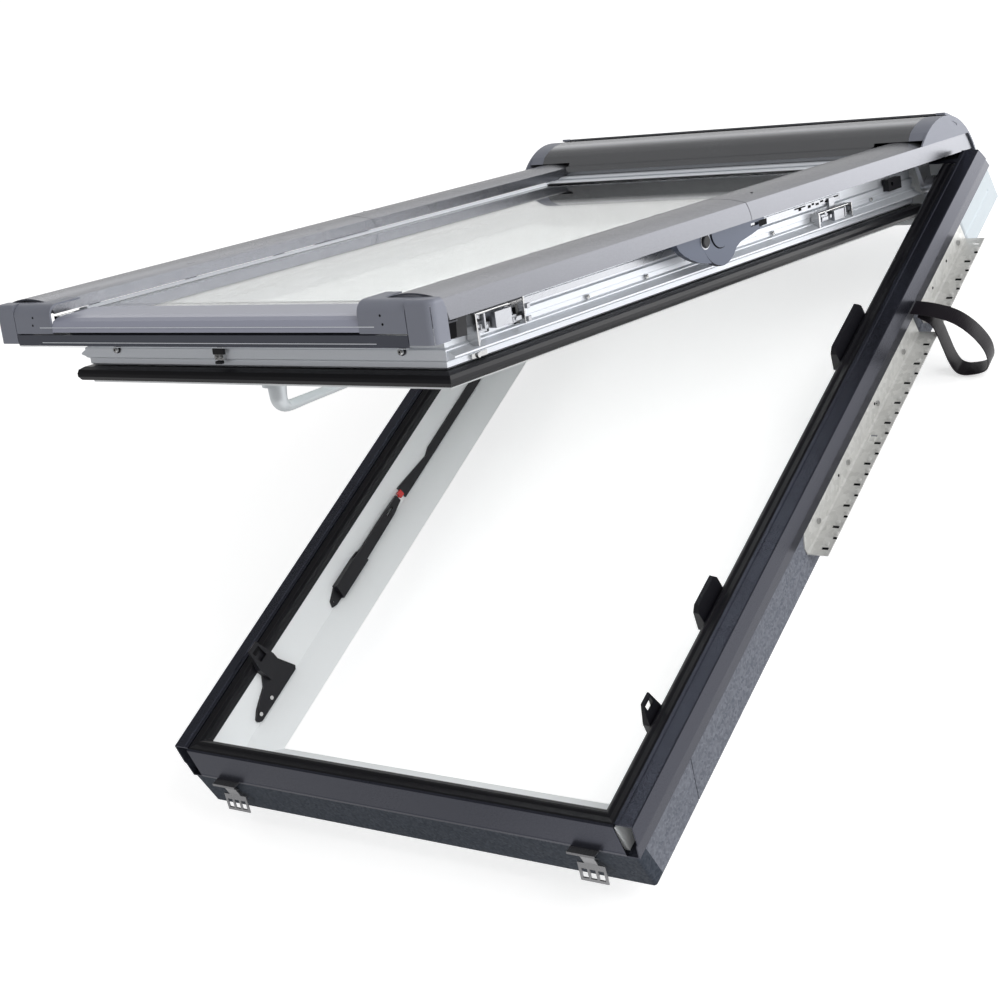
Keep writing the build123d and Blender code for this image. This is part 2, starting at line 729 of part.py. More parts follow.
def corner_cap():
    """Cap over the corner of the side cover and the front cover."""
    z0 = front_step[1] - 1.5
    body = block(cap_inner, cap_split, cap_front, 16, z0, cap_top)
    brow = [e for e in body.edges().filter_by(Axis.X) if e.center().Y < 0 and e.center().Z > 40]
    body = fillet(brow, 14)
    inner = block(cap_inner - 1, cap_split + 1, cap_front + 2.4, 17, z0 - 1, cap_top - 2.4)
    low_edge = [e for e in inner.edges().filter_by(Axis.X) if e.center().Y < 0 and e.center().Z > 40]
    body -= fillet(low_edge, 11.6)
    body += block(cap_split - 2.4, cap_split, cap_front + 4, -14, z0, cap_top - 8)
    clear = cover_run(cover_start - 13, 20)
    above = block(cover_in - 1, cap_split + 1, -14, 20, z0 - 1, cover_crown + 2)
    under = along_y([(cover_in - 0.6, 0), (cover_in - 0.6, 60), (400, 60), (400, 0)], -11, 20)
    return body - (above & under) - clear


def cover_end():
    """End of the side cover: slab round the corner with a black hollow behind it."""
    z0 = fit
    body = block(cap_split + 1.2, cap_out, cap_front, cover_start - 6, z0, cap_top)
    corner = [e for e in body.edges().filter_by(Axis.Z) if e.center().Y < -20 and e.center().X > cap_out - 9]
    body = fillet(corner, 9)
    brow = [e for e in body.edges() if e.center().Z > cap_top - 0.1 and
            (e.center().Y < cap_front + 9 or e.center().X > cap_out - 9)]
    body = fillet(brow, 5)
    hollow = block(cap_split + 3.6, cap_out - 2.4, cap_front + 2.4, 0, z0 - 1, cap_top - 6)
    body -= hollow
    lean = [(cover_start - 1, z0 - 1), (cover_start - 1, cover_low), (cover_start - 12.6, cover_crown),
            (20, cover_crown), (20, z0 - 1)]
    return body - along_x(lean, cap_split, cap_out + 1)


def pivot_shell():
    """Fixed half of the pivot hook, hung from the lower cover."""
    face = polygon([
        (pivot_y - 97, cover_low - fit), (pivot_y - 97, 16), (pivot_y - 92, 8),
        (pivot_y - 83, 1), (pivot_y - 70, -6), (pivot_y - 52, -13.4), (pivot_y - 30, -18),
        (pivot_y - 10, -18), (pivot_y - 10, cover_low - fit),
    ])
    face -= Pos(pivot_y, pivot_z) * Circle(housing_r + shell_gap)
    body = face_along_x(face, housing_x, housing_x + shell_wide)
    return body + block(sash_half, housing_x + 1, pivot_y - 90, pivot_y - 58, 10.2, 17.8)


def pivot_stud():
    plate = rod_x(22, sash_half, sash_half + 3, pivot_y, pivot_z)
    plate &= block(sash_half - 9, sash_half + 9, pivot_y - 40, pivot_y + 40, -9, sash_top)
    return plate + rod_x(stud_r, sash_half, arm_x + arm_thick - fit, pivot_y, pivot_z)


def lock():
    """Drive rod in the groove of the sash with a latch block near each end."""
    x = sash_half
    a = lock_low
    b = lock_high
    rod = block(x - 2.4, x - 0.2, a - 14, b + 38, -2.5, 4.5)
    low = block(x + fit, x + 14, a, a + 28, -14, 3) - block(x + 4, x + 11, a + 6, a + 32, -10, -4)
    low += block(x - 0.5, x + 3, a, a + 28, -2.2, 3)
    high = block(x + fit, x + 11, b, b + 26, -26, -13) - block(x + 3, x + 9, b + 4, b + 28, -23, -17)
    high += block(x + fit, x + 2.4, b + 4, b + 18, -24, 3)
    high += block(x - 2.3, x + 2.4, b + 4, b + 18, -2.2, 3)
    return rod + off_sash(low + high)


def off_sash(shape):
    """Trims a piece where the ridge and the fin of the sash pass under it."""
    x = sash_half
    tip = x + fin_out + fit
    space = [(x - 1, -19.7), (x + 2.3, -21.6), (x + 2.3, -23.1), (tip, fin_z + 1.3), (tip, -60),
             (x - 1, -60)]
    return shape - along_y(space, 0, sash_high)


def lock_keeper():
    """Stainless brackets that guide the two latch blocks."""
    x = sash_half + fit
    a = lock_low
    b = lock_high
    low = block(x, x + 15, a - 34, a - 32, -26, 8) + block(x, x + 2, a - 34, a - 22, -26, 8)
    low += block(x, x + 12, a + 52, a + 54, -20, 10) + block(x, x + 2, a + 50, a + 58, -20, 10)
    low += rod_y(2.2, x + 9, a - 33, a + 53, 6.5)
    high = block(x, x + 12, b - 42, b - 40, -28, -9) + block(x, x + 2, b - 42, b - 30, -28, -9)
    high += block(x, x + 12, b + 44, b + 46, -28, -9) + rod_y(1.8, x + 8, b - 41, b + 45, -10.5)
    return [off_sash(low), off_sash(high)]


def sash_fixings():
    """Screw and rivet heads on the front and the sides of the sash."""
    heads = []
    for x in (57 - sash_half, sash_half - 57):
        head = rod_z(fixing_r, x, 0, fit / 2 - 1, 2.4)
        heads.append(Pos(0, sash_low, -17.5) * Rot(90, 0, 0) * head)
    for y in (pivot_y - 228, pivot_y - 110, pivot_y + 175, hinge_y - 119):
        for side in (1, -1):
            a = side * (sash_half - 1 + fit / 2)
            b = side * (sash_half + 1.6)
            heads.append(rod_x(fixing_r, min(a, b), max(a, b), y, -17.5))
    return heads


def corner_clip():
    x = sash_half - 1
    body = block(x, x + 3, 86, 112, -40.6, -35.4)
    return body + rod_x(2.4, x + 3, x + 4.4, 96, -38)


def vent_catch():
    """Small catch in the middle of the front rail."""
    body = block(-56, -42, sash_low - 7, sash_low - 2, -34, -23)
    return body + block(-53, -45, sash_low - 4, sash_low - 0.1, -19.9, -12) + block(
        -53, -45, sash_low - 5, sash_low - 3, -24, -20)


def damper():
    """Black end block of the lock gear near the top hinge."""
    body = block(sash_half + fit, sash_half + 9, hinge_y - 81, hinge_y - 45, -13, 3)
    return body - rod_x(3, sash_half - 1, sash_half + 20, hinge_y - 71, -4)


def handle_base():
    rose = rod_z(17, 0, handle_y, sash_floor - 6, sash_floor)
    return rose - rod_z(handle_neck_r + running_fit, 0, handle_y, sash_floor - 7, sash_floor - 2)


def handle():
    """Turning lever: neck in the rose, knuckle, and a grip that points up the slope."""
    grip = block(-9, 9, handle_y - 10, handle_y + handle_reach, handle_low, handle_low + 12)
    edges = [e for e in grip.edges()]
    grip = fillet(edges, 4.5)
    neck = rod_z(handle_neck_r, 0, handle_y, handle_low + 8, sash_floor - 2 - running_fit)
    collar = rod_z(handle_neck_r + 2.5, 0, handle_y, handle_low + 8, sash_floor - 6 - fit)
    return grip + neck + collar


# The pieces, each in its own file

def write_pair(name, shape, place):
    """Writes the right and the left copy of a piece."""
    write(name + "_right", place(shape))
    write(name + "_left", place(other_side(shape)))


def write_both(name, shape, place):
    """Writes the right and the left copy of a small piece as one set."""
    write(name, place(group([shape, other_side(shape)])))


def write_frame():
    write("frame_profile", seat(frame_profile()))
    write("frame_gasket", seat(frame_gasket()))
    write_pair("side_strip", side_strip(), seat)
    write("front_cover", seat(front_cover()))
    write("top_cover", seat(top_cover()))
    write_pair("insulation", insulation_side(), seat)
    write("insulation_front", seat(insulation_end(-foot_out, -front_out)))
    write("insulation_top", seat(insulation_end(lip_length + foot_out, lip_length + back_out)))
    angles = [mounting_angle(start, length, length > 300) for start, length, _ in angle_runs]
    write_pair("mounting_angles", group(angles), seat)
    screws = angle_screws([start + place for start, _, places in angle_runs for place in places])
    screws += wall_screws([(lock_low - 34, -18), (lock_low - 6, -18)])
    write("frame_screws", seat(group(screws + [other_side(s) for s in screws])))
    write("spring_clips", seat(group([spring_clip(x) for x in clip_places])))
    write("carrying_strap", seat(carrying_strap()))
    write_pair("striker_plate", striker_plate(), seat)
    write("stay_base", seat(other_side(stay_base())))
    write("stay_arm", seat(other_side(stay_arm())))
    write("stay_button", seat(other_side(stay_button())))
    write("stay_rail", seat(other_side(stay_rail())))
    write("guide_blocks", seat(group([guide_block(*run) for run in guide_runs])))
    write_both("hinge_brackets", hinge_bracket(), seat)
    write_both("hinge_pins", hinge_pin(), seat)
    write("rear_band", seat(rear_band()))
    write_both("rear_band_ends", rear_band_end(), seat)


def write_carrier():
    write_pair("arm", arm(), swing)
    write_pair("upper_cover", upper_cover(), swing)
    write("hood", swing(hood()))
    write_pair("hood_cap", hood_cap(), swing)
    write_pair("pivot_housing", pivot_housing(), swing)


def write_sash():
    write("sash_profile", swing(sash_profile()))
    write("sash_lining", swing(sash_lining()))
    write("sash_seal", swing(sash_seal()))
    write("glazing_bead", swing(glazing_bead()))
    write("outer_pane", swing(pane(glass_low, glass_top - pane_thick)))
    write("inner_pane", swing(pane(inner_low, glass_top - 2 * pane_thick - pane_gap)))
    write("pane_spacer", swing(pane_spacer()))
    write_pair("lower_cover", lower_cover(), swing)
    write("bottom_cover", swing(bottom_cover()))
    write("drip_cover", swing(drip_cover()))
    write_pair("corner_cap", corner_cap(), swing)
    write_both("cover_ends", cover_end(), swing)
    write_both("pivot_shells", pivot_shell(), swing)
    write_both("pivot_studs", pivot_stud(), swing)
    write_pair("lock", lock(), swing)
    keepers = lock_keeper()
    write("lock_keepers", swing(group(keepers + [other_side(k) for k in keepers])))
    clip = corner_clip()
    write("sash_fixings", swing(group(sash_fixings() + [clip, other_side(clip), vent_catch()])))
    write_both("dampers", damper(), swing)
    write("handle_base", swing(handle_base()))
    write("handle", swing(handle()))


write_frame()
write_carrier()
write_sash()
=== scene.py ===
import json
import math
import bmesh
import bpy
import numpy as np
from mathutils import Euler, Matrix, Vector


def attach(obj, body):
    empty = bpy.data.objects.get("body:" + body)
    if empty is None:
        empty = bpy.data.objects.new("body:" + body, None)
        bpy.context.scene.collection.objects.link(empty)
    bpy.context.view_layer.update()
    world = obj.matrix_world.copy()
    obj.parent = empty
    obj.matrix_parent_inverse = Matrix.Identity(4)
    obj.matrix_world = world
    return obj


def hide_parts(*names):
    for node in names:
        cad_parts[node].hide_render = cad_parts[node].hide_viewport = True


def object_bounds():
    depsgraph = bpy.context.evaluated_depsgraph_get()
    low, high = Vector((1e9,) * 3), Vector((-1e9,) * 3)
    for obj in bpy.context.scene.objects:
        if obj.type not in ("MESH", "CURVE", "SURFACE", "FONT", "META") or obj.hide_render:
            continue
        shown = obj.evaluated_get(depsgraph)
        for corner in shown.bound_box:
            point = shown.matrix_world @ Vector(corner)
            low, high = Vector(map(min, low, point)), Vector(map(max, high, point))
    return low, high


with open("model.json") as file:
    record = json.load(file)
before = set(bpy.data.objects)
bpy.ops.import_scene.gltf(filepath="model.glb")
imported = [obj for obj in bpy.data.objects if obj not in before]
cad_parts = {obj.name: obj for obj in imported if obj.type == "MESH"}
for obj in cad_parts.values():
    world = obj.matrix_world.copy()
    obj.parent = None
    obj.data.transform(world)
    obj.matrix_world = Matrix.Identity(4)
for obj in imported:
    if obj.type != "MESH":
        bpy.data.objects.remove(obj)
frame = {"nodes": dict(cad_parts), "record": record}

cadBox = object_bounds()
record = frame["record"]
nodes = frame["nodes"]
slotOf = {part["node"]: part["material_slot"] for part in record["subparts"]}
openAngle = math.radians(32)   # the window stands open by this
print("frame loaded:", len(nodes), "nodes")


# helpers for meshes

def addObject(name, data):
    added = bpy.data.objects.new(name, data)
    bpy.context.scene.collection.objects.link(added)
    return added


def shadeSmooth(mesh):
    mesh.polygons.foreach_set("use_smooth", np.ones(len(mesh.polygons), bool))


def makePiece(name, points, faces, smooth=True):
    mesh = bpy.data.meshes.new(name)
    mesh.from_pydata(np.asarray(points, float).reshape(-1, 3).tolist(), [], faces)
    mesh.validate()
    if smooth:
        shadeSmooth(mesh)
    return addObject(name, mesh)


# Rows of points, each a closed ring: a quad joins two neighbours to the same two of the next row.
def ringFaces(rows, columns):
    a = np.arange((rows - 1) * columns).reshape(rows - 1, columns)
    b = np.roll(a, -1, axis=1)
    return np.stack([a, b, b + columns, a + columns], axis=-1).reshape(-1, 4).tolist()


def cleanNormals(piece):
    work = bmesh.new()
    work.from_mesh(piece.data)
    bmesh.ops.remove_doubles(work, verts=work.verts, dist=1e-6)
    bmesh.ops.recalc_face_normals(work, faces=work.faces)
    work.to_mesh(piece.data)
    work.free()


# Rings of points joined into one skin, with a flat face over the first and the last ring.
def cappedPiece(name, rings, smooth=True):
    count, sides = rings.shape[:2]
    caps = [list(range(sides))[::-1], list(range((count - 1) * sides, count * sides))]
    piece = makePiece(name, rings, ringFaces(count, sides) + caps, smooth)
    cleanNormals(piece)
    return piece


def finishPiece(piece, material, body, stands=()):
    piece.data.materials.clear()
    piece.data.materials.append(material)
    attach(piece, body)
    if stands:
        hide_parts(*stands)


# helpers for shader nodes

# An input is linked where its value is another node's socket, and otherwise takes the value.
def setInputs(tree, node, values):
    for socket, source in values.items():
        target = node.inputs[socket]
        if hasattr(source, "links"):
            tree.links.new(source, target)
        else:
            target.default_value = source


def addNode(tree, kind, values=None, **settings):
    node = tree.nodes.new(kind)
    for key, value in settings.items():
        setattr(node, key, value)
    setInputs(tree, node, values or {})
    return node


def mathOut(tree, operation, first, second=0.0):
    return addNode(tree, "ShaderNodeMath", {0: first, 1: second}, operation=operation).outputs[0]


def rangeOut(tree, value, given, wanted):
    return addNode(tree, "ShaderNodeMapRange", {
        "Value": value, "From Min": given[0], "From Max": given[1],
        "To Min": wanted[0], "To Max": wanted[1]}).outputs["Result"]


def colorMixOut(tree, factor, first, second):
    return addNode(tree, "ShaderNodeMix", {"Factor": factor, 6: first, 7: second},
                   data_type="RGBA").outputs[2]


def noiseOut(tree, vector, scale, detail):
    return addNode(tree, "ShaderNodeTexNoise", {"Vector": vector, "Scale": scale,
                                                "Detail": detail}).outputs["Fac"]


def newMaterial(name):
    material = bpy.data.materials.new(name)
    material.use_nodes = True
    return material, material.node_tree, material.node_tree.nodes["Principled BSDF"]


# shader groups, each built once

socketKinds = {1: "NodeSocketFloat", 3: "NodeSocketVector", 4: "NodeSocketColor"}
groupOutputs = {"Color": "NodeSocketColor", "Roughness": "NodeSocketFloat", "Height": "NodeSocketFloat"}
groupLook = dict(fineDetail=3.0, broadScale=7.0, broadDetail=4.0, lineDetail=5.0, paleFade=0.012)


# The kind of an input follows from how many numbers its value has.
def newGroup(name, inputs):
    group = bpy.data.node_groups.new(name, "ShaderNodeTree")
    for label, value in inputs.items():
        socket = group.interface.new_socket(name=label, in_out="INPUT",
                                            socket_type=socketKinds[np.size(value)])
        socket.default_value = value
    for label, kind in groupOutputs.items():
        group.interface.new_socket(name=label, in_out="OUTPUT", socket_type=kind)
    return group, group.nodes.new("NodeGroupInput").outputs, group.nodes.new("NodeGroupOutput")


# The roughness is its own value plus the wave times Spread.
def endGroup(group, start, end, color, wave, height):
    rough = mathOut(group, "ADD", mathOut(group, "MULTIPLY", wave, start["Spread"]), start["Roughness"])
    setInputs(group, end, {"Color": color, "Roughness": rough, "Height": height})
    return group


# The colour's brightness is one plus the wave times Variation.
def shadeByWave(group, start, end, wave, height):
    value = mathOut(group, "ADD", mathOut(group, "MULTIPLY", wave, start["Variation"]), 1.0)
    tint = addNode(group, "ShaderNodeHueSaturation", {"Color": start["Color"], "Value": value})
    return endGroup(group, start, end, tint.outputs["Color"], wave, height)


# Paint, plastic and rubber: a fine noise and a broad one added together.
def buildGrainGroup():
    group, start, end = newGroup("grainGroup", {
        "Color": (0.5, 0.5, 0.5, 1), "Variation": 0.1, "Scale": 900.0, "Roughness": 0.4, "Spread": 0.08})
    place = addNode(group, "ShaderNodeTexCoord").outputs["Object"]
    fine = noiseOut(group, place, start["Scale"], groupLook["fineDetail"])
    broad = noiseOut(group, place, groupLook["broadScale"], groupLook["broadDetail"])
    wave = mathOut(group, "ADD", mathOut(group, "ADD", fine, broad), -1.0)
    return shadeByWave(group, start, end, wave, fine)


# Brushed or drawn metal: noise turned to the metal's run and then stretched along it.
def buildBrushGroup():
    group, start, end = newGroup("brushGroup", {
        "Color": (0.7, 0.7, 0.7, 1), "Variation": 0.1, "Turn": (0.0, 0.0, 0.0),
        "Stretch": (900.0, 12.0, 900.0), "Roughness": 0.3, "Spread": 0.15})
    place = addNode(group, "ShaderNodeTexCoord").outputs["Object"]
    level = addNode(group, "ShaderNodeMapping", {"Vector": place, "Rotation": start["Turn"]})
    drawn = addNode(group, "ShaderNodeMapping", {"Vector": level.outputs["Vector"],
                                                 "Scale": start["Stretch"]})
    lines = noiseOut(group, drawn.outputs["Vector"], 1.0, groupLook["lineDetail"])
    return shadeByWave(group, start, end, mathOut(group, "ADD", lines, -0.5), lines)


# Foam beads or zinc spangle: each Voronoi cell gets its own shade, and its edge dips a little.
# From the place PaleFrom on along the slope the colour fades to Pale.
def buildCellGroup():
    group, start, end = newGroup("cellGroup", {
        "Color": (0.5, 0.5, 0.5, 1), "Second": (0.6, 0.6, 0.6, 1), "Scale": 300.0, "Roughness": 0.5,
        "Spread": 0.2, "Pale": (0.7, 0.75, 0.8, 1), "PaleFrom": 9.0})
    place = addNode(group, "ShaderNodeTexCoord").outputs["Object"]
    split = addNode(group, "ShaderNodeSeparateXYZ", {"Vector": place})
    beyond = mathOut(group, "SUBTRACT", split.outputs["Y"], start["PaleFrom"])
    fade = rangeOut(group, beyond, (0.0, groupLook["paleFade"]), (0.0, 1.0))
    cells = addNode(group, "ShaderNodeTexVoronoi", {"Vector": place, "Scale": start["Scale"]})
    shade = addNode(group, "ShaderNodeSeparateColor", {"Color": cells.outputs["Color"]})
    beads = colorMixOut(group, shade.outputs["Red"], start["Color"], start["Second"])
    color = colorMixOut(group, fade, beads, start["Pale"])
    dip = mathOut(group, "MULTIPLY", cells.outputs["Distance"], -1.0)
    return endGroup(group, start, end, color, shade.outputs["Green"], dip)


# Webbing: ribs across the band times threads on the slant, both sine waves of the place.
def buildWeaveGroup():
    group, start, end = newGroup("weaveGroup", {
        "Color": (0.02, 0.02, 0.02, 1), "Variation": 0.4, "Pitch": 1400.0, "Roughness": 0.5,
        "Spread": 0.2})
    place = addNode(group, "ShaderNodeTexCoord").outputs["Object"]
    split = addNode(group, "ShaderNodeSeparateXYZ", {"Vector": place})
    slant = mathOut(group, "ADD", split.outputs["X"], split.outputs["Z"])
    ribs, threads = (mathOut(group, "SINE", mathOut(group, "MULTIPLY", source, start["Pitch"]))
                     for source in (split.outputs["Y"], slant))
    weave = mathOut(group, "MULTIPLY", ribs, threads)
    return shadeByWave(group, start, end, weave, weave)


shaderGroups = {"weave": buildWeaveGroup(), "grain": buildGrainGroup(), "brush": buildBrushGroup(),
                "cell": buildCellGroup()}
print("shader groups ready")


# materials: one dictionary per finish, of which values goes to its shader group

finishes = {
    "whiteFrame": dict(kind="grain", color=(0.84, 0.86, 0.87), metallic=0.0, coat=0.10, bump=0.02,
                       values={"Variation": 0.03, "Scale": 700.0, "Roughness": 0.34, "Spread": 0.08}),
    "rubberBlack": dict(kind="grain", color=(0.006, 0.006, 0.008), metallic=0.0, coat=0.0, bump=0.05,
                        shine=0.30,
                        values={"Variation": 0.3, "Scale": 1500.0, "Roughness": 0.34, "Spread": 0.15}),
    "coverPaint": dict(kind="grain", color=(0.24, 0.245, 0.268), metallic=0.92, coat=0.06, bump=0.03,
                       values={"Variation": 0.12, "Scale": 2600.0, "Roughness": 0.27, "Spread": 0.07}),
    "capPlastic": dict(kind="grain", color=(0.20, 0.21, 0.25), metallic=0.25, coat=0.0, bump=0.12,
                       values={"Variation": 0.16, "Scale": 1900.0, "Roughness": 0.44, "Spread": 0.12}),
    "stripPaint": dict(kind="grain", color=(0.055, 0.058, 0.078), metallic=0.85, coat=0.0, bump=0.03,
                       shine=0.4,
                       values={"Variation": 0.16, "Scale": 2200.0, "Roughness": 0.28, "Spread": 0.10}),
    "barPaint": dict(kind="grain", color=(0.30, 0.31, 0.38), metallic=0.15, coat=0.1, bump=0.02,
                     values={"Variation": 0.08, "Scale": 2200.0, "Roughness": 0.32, "Spread": 0.10}),
    "dripPaint": dict(kind="grain", color=(0.055, 0.059, 0.076), metallic=0.1, coat=0.1, bump=0.02,
                      values={"Variation": 0.10, "Scale": 2200.0, "Roughness": 0.34, "Spread": 0.10}),
    "hoodPaint": dict(kind="grain", color=(0.34, 0.345, 0.36), metallic=0.92, coat=0.06, bump=0.03,
                      values={"Variation": 0.10, "Scale": 2600.0, "Roughness": 0.25, "Spread": 0.07}),
    # The front block of foam: the same foam as the sides, with a darker colour painted in as shade.
    "foamFrontShaded": dict(kind="cell", color=(0.024, 0.031, 0.044), metallic=0.0, coat=0.0, bump=0.35,
                      shine=0.3,
                      values={"Second": (0.042, 0.051, 0.068, 1), "Scale": 330.0, "Roughness": 0.62,
                              "Spread": 0.2}),
    "foamSide": dict(kind="cell", color=(0.115, 0.124, 0.150), metallic=0.0, coat=0.0, bump=0.35,
                     shine=0.3,
                     values={"Second": (0.185, 0.196, 0.228, 1), "Scale": 330.0, "Roughness": 0.62,
                             "Spread": 0.2, "Pale": (0.66, 0.72, 0.76, 1), "PaleFrom": 0.468}),
    "zincSheet": dict(kind="cell", color=(0.62, 0.62, 0.60), metallic=0.45, coat=0.0, bump=0.04,
                      values={"Second": (0.74, 0.74, 0.72, 1), "Scale": 170.0, "Roughness": 0.32,
                              "Spread": 0.22}),
    "brightSteel": dict(kind="brush", color=(0.62, 0.62, 0.62), metallic=1.0, coat=0.0, bump=0.02,
                        values={"Variation": 0.15, "Roughness": 0.22, "Spread": 0.2}),
    "hingeSteel": dict(kind="brush", color=(0.52, 0.53, 0.56), metallic=0.95, coat=0.0, bump=0.03,
                       values={"Variation": 0.15, "Roughness": 0.30, "Spread": 0.2}),
    "sashSilver": dict(kind="brush", color=(0.80, 0.83, 0.88), metallic=0.55, coat=0.0, bump=0.0,
                       values={"Variation": 0.12, "Roughness": 0.36, "Spread": 0.08,
                               "Turn": (openAngle, 0, 0), "Stretch": (700.0, 3.0, 700.0)}),
    "clipSteel": dict(kind="brush", color=(0.34, 0.34, 0.35), metallic=0.9, coat=0.0, bump=0.03,
                      values={"Variation": 0.25, "Roughness": 0.30, "Spread": 0.25}),
    "silverLine": dict(kind="brush", color=(0.16, 0.20, 0.25), metallic=0.5, coat=0.1, bump=0.0,
                       values={"Variation": 0.10, "Roughness": 0.32, "Spread": 0.08,
                               "Turn": (openAngle, 0, 0), "Stretch": (3.0, 700.0, 700.0)}),
    "webbingBlack": dict(kind="weave", color=(0.009, 0.007, 0.010), metallic=0.0, coat=0.0, bump=0.15,
                         shine=0.35,
                         values={"Variation": 0.25, "Pitch": 3000.0, "Roughness": 0.36, "Spread": 0.1}),
    # Black for marks of painted shade: holes, slots, sockets and seams, where shade falls in the real
    # thing.
    "paintedShadeBlack": dict(kind="grain", color=(0.003, 0.003, 0.004), metallic=0.0, coat=0.0, bump=0.0,
                      shine=0.1,
                      values={"Variation": 0.2, "Scale": 900.0, "Roughness": 0.6, "Spread": 0.05}),
    "housingPaint": dict(kind="grain", color=(0.085, 0.098, 0.135), metallic=0.6, coat=0.1, bump=0.03,
                         values={"Variation": 0.08, "Scale": 1800.0, "Roughness": 0.34, "Spread": 0.1}),
    "plasticBlack": dict(kind="grain", color=(0.010, 0.010, 0.013), metallic=0.0, coat=0.0, bump=0.08,
                         shine=0.35,
                         values={"Variation": 0.25, "Scale": 1700.0, "Roughness": 0.42, "Spread": 0.15}),
    "buttonRed": dict(kind="grain", color=(0.60, 0.018, 0.018), metallic=0.0, coat=0.3, bump=0.02,
                      values={"Variation": 0.06, "Scale": 1200.0, "Roughness": 0.25, "Spread": 0.08}),
    "spacerGrey": dict(kind="brush", color=(0.30, 0.31, 0.33), metallic=0.6, coat=0.0, bump=0.02,
                       values={"Variation": 0.1, "Roughness": 0.40, "Spread": 0.1}),
    "handleSilver": dict(kind="grain", color=(0.70, 0.735, 0.76), metallic=0.55, coat=0.2, bump=0.02,
                         values={"Variation": 0.06, "Scale": 2000.0, "Roughness": 0.32, "Spread": 0.08}),
}

finishBase = dict(shine=0.5, bumpDistance=0.0004, coatRoughness=0.25)


def makeFinish(name):
    look = {**finishBase, **finishes[name]}
    material, tree, shader = newMaterial(name)
    color = (*look["color"], 1)
    group = addNode(tree, "ShaderNodeGroup", {"Color": color, **look["values"]},
                    node_tree=shaderGroups[look["kind"]])
    bump = addNode(tree, "ShaderNodeBump", {"Strength": look["bump"], "Distance": look["bumpDistance"],
                                            "Height": group.outputs["Height"]})
    setInputs(tree, shader, {
        "Base Color": group.outputs["Color"], "Roughness": group.outputs["Roughness"],
        "Normal": bump.outputs["Normal"], "Metallic": look["metallic"],
        "Specular IOR Level": look["shine"], "Coat Weight": look["coat"],
        "Coat Roughness": look["coatRoughness"]})
    material.diffuse_color = color
    return material


paint = {name: makeFinish(name) for name in finishes}

glassLook = dict(tint=(0.95, 0.972, 0.966), ior=1.45, filmScale=3.0, film=0.03)


def makeGlass():
    look = glassLook
    material, tree, shader = newMaterial("paneGlass")
    place = addNode(tree, "ShaderNodeTexCoord").outputs["Object"]
    film = addNode(tree, "ShaderNodeTexNoise", {"Vector": place, "Scale": look["filmScale"]})
    setInputs(tree, shader, {
        "Roughness": mathOut(tree, "MULTIPLY", film.outputs["Fac"], look["film"]),
        "Base Color": (*look["tint"], 1), "Transmission Weight": 1.0, "IOR": look["ior"]})
    return material


paint["paneGlass"] = makeGlass()

slotFinish = {
    "frame_white": "whiteFrame", "gasket_black": "rubberBlack", "cover_anthracite": "coverPaint",
    "insulation_foam": "foamSide", "galvanised": "zincSheet", "steel_screws": "brightSteel",
    "stainless": "brightSteel", "webbing": "plasticBlack", "black_plastic": "plasticBlack",
    "red_plastic": "buttonRed", "hinge_steel": "hingeSteel", "housing_paint": "housingPaint",
    "sash_aluminium": "sashSilver", "sash_white": "whiteFrame", "pane_glass": "paneGlass",
    "spacer_grey": "spacerGrey", "handle_metal": "handleSilver",
}
ownFinish = {
    "hood_cap_left": "capPlastic", "hood_cap_right": "capPlastic", "corner_cap_left": "capPlastic",
    "corner_cap_right": "capPlastic", "cover_ends": "capPlastic", "insulation_front": "foamFrontShaded",
    "side_strip_left": "stripPaint", "side_strip_right": "stripPaint", "front_cover": "stripPaint",
    "top_cover": "stripPaint", "rear_band_ends": "capPlastic", "spring_clips": "clipSteel",
    "bottom_cover": "barPaint", "drip_cover": "dripPaint", "hood": "hoodPaint",
}
for name, node in nodes.items():
    node.data.materials.clear()
    node.data.materials.append(paint[ownFinish.get(name, slotFinish[slotOf[name]])])
print("finishes on", len(nodes), "nodes")


# places: closed-window measures in millimetres, from the foot of the lips

hingePlace = (1079.0, -18.5)
originShift = np.array([0.0, -564.0, 104.0])


# The window turns open about the top hinge: along and out are each a mix by cosine and sine.
def openedPlace(points):
    p = np.asarray(points, float)
    along, out = p[..., 1] - hingePlace[0], p[..., 2] - hingePlace[1]
    c, s = math.cos(openAngle), -math.sin(openAngle)
    turned = (p[..., 0], hingePlace[0] + along * c - out * s, hingePlace[1] + along * s + out * c)
    return (np.stack(turned, axis=-1) + originShift) / 1000.0


# On the fixed frame nothing turns: a point only shifts.
def framePlace(points):
    return (np.asarray(points, float) + originShift) / 1000.0


# Many small convex forms in one piece: each is the hull of its own points.
def hullPiece(name, forms, place, material, body, sharp=32, flat=1):
    work = bmesh.new()
    for form in forms:
        corners = [work.verts.new(q) for q in place(form).tolist()]
        result = bmesh.ops.convex_hull(work, input=corners)
        spare = [v for v in result["geom_interior"] if isinstance(v, bmesh.types.BMVert)]
        bmesh.ops.delete(work, geom=spare, context="VERTS")
    bmesh.ops.dissolve_limit(work, angle_limit=math.radians(flat), verts=work.verts, edges=work.edges)
    bmesh.ops.recalc_face_normals(work, faces=work.faces)
    mesh = bpy.data.meshes.new(name)
    work.to_mesh(mesh)
    work.free()
    shadeSmooth(mesh)
    mesh.set_sharp_from_angle(angle=math.radians(sharp))
    finishPiece(addObject(name, mesh), material, body)


# A block with every edge taken off: each corner is three points, moved in along two of the axes.
def blockForm(x, y, z, chamfer):
    corner = np.stack(np.meshgrid((0, 1), (0, 1), (0, 1), indexing="ij"), axis=-1).reshape(8, 1, 3)
    low, high = np.array([x, y, z], float).T
    moved = chamfer * (1 - 2 * corner) * (1 - np.eye(3)[::-1])
    return (np.where(corner, high, low) + moved).reshape(24, 3)


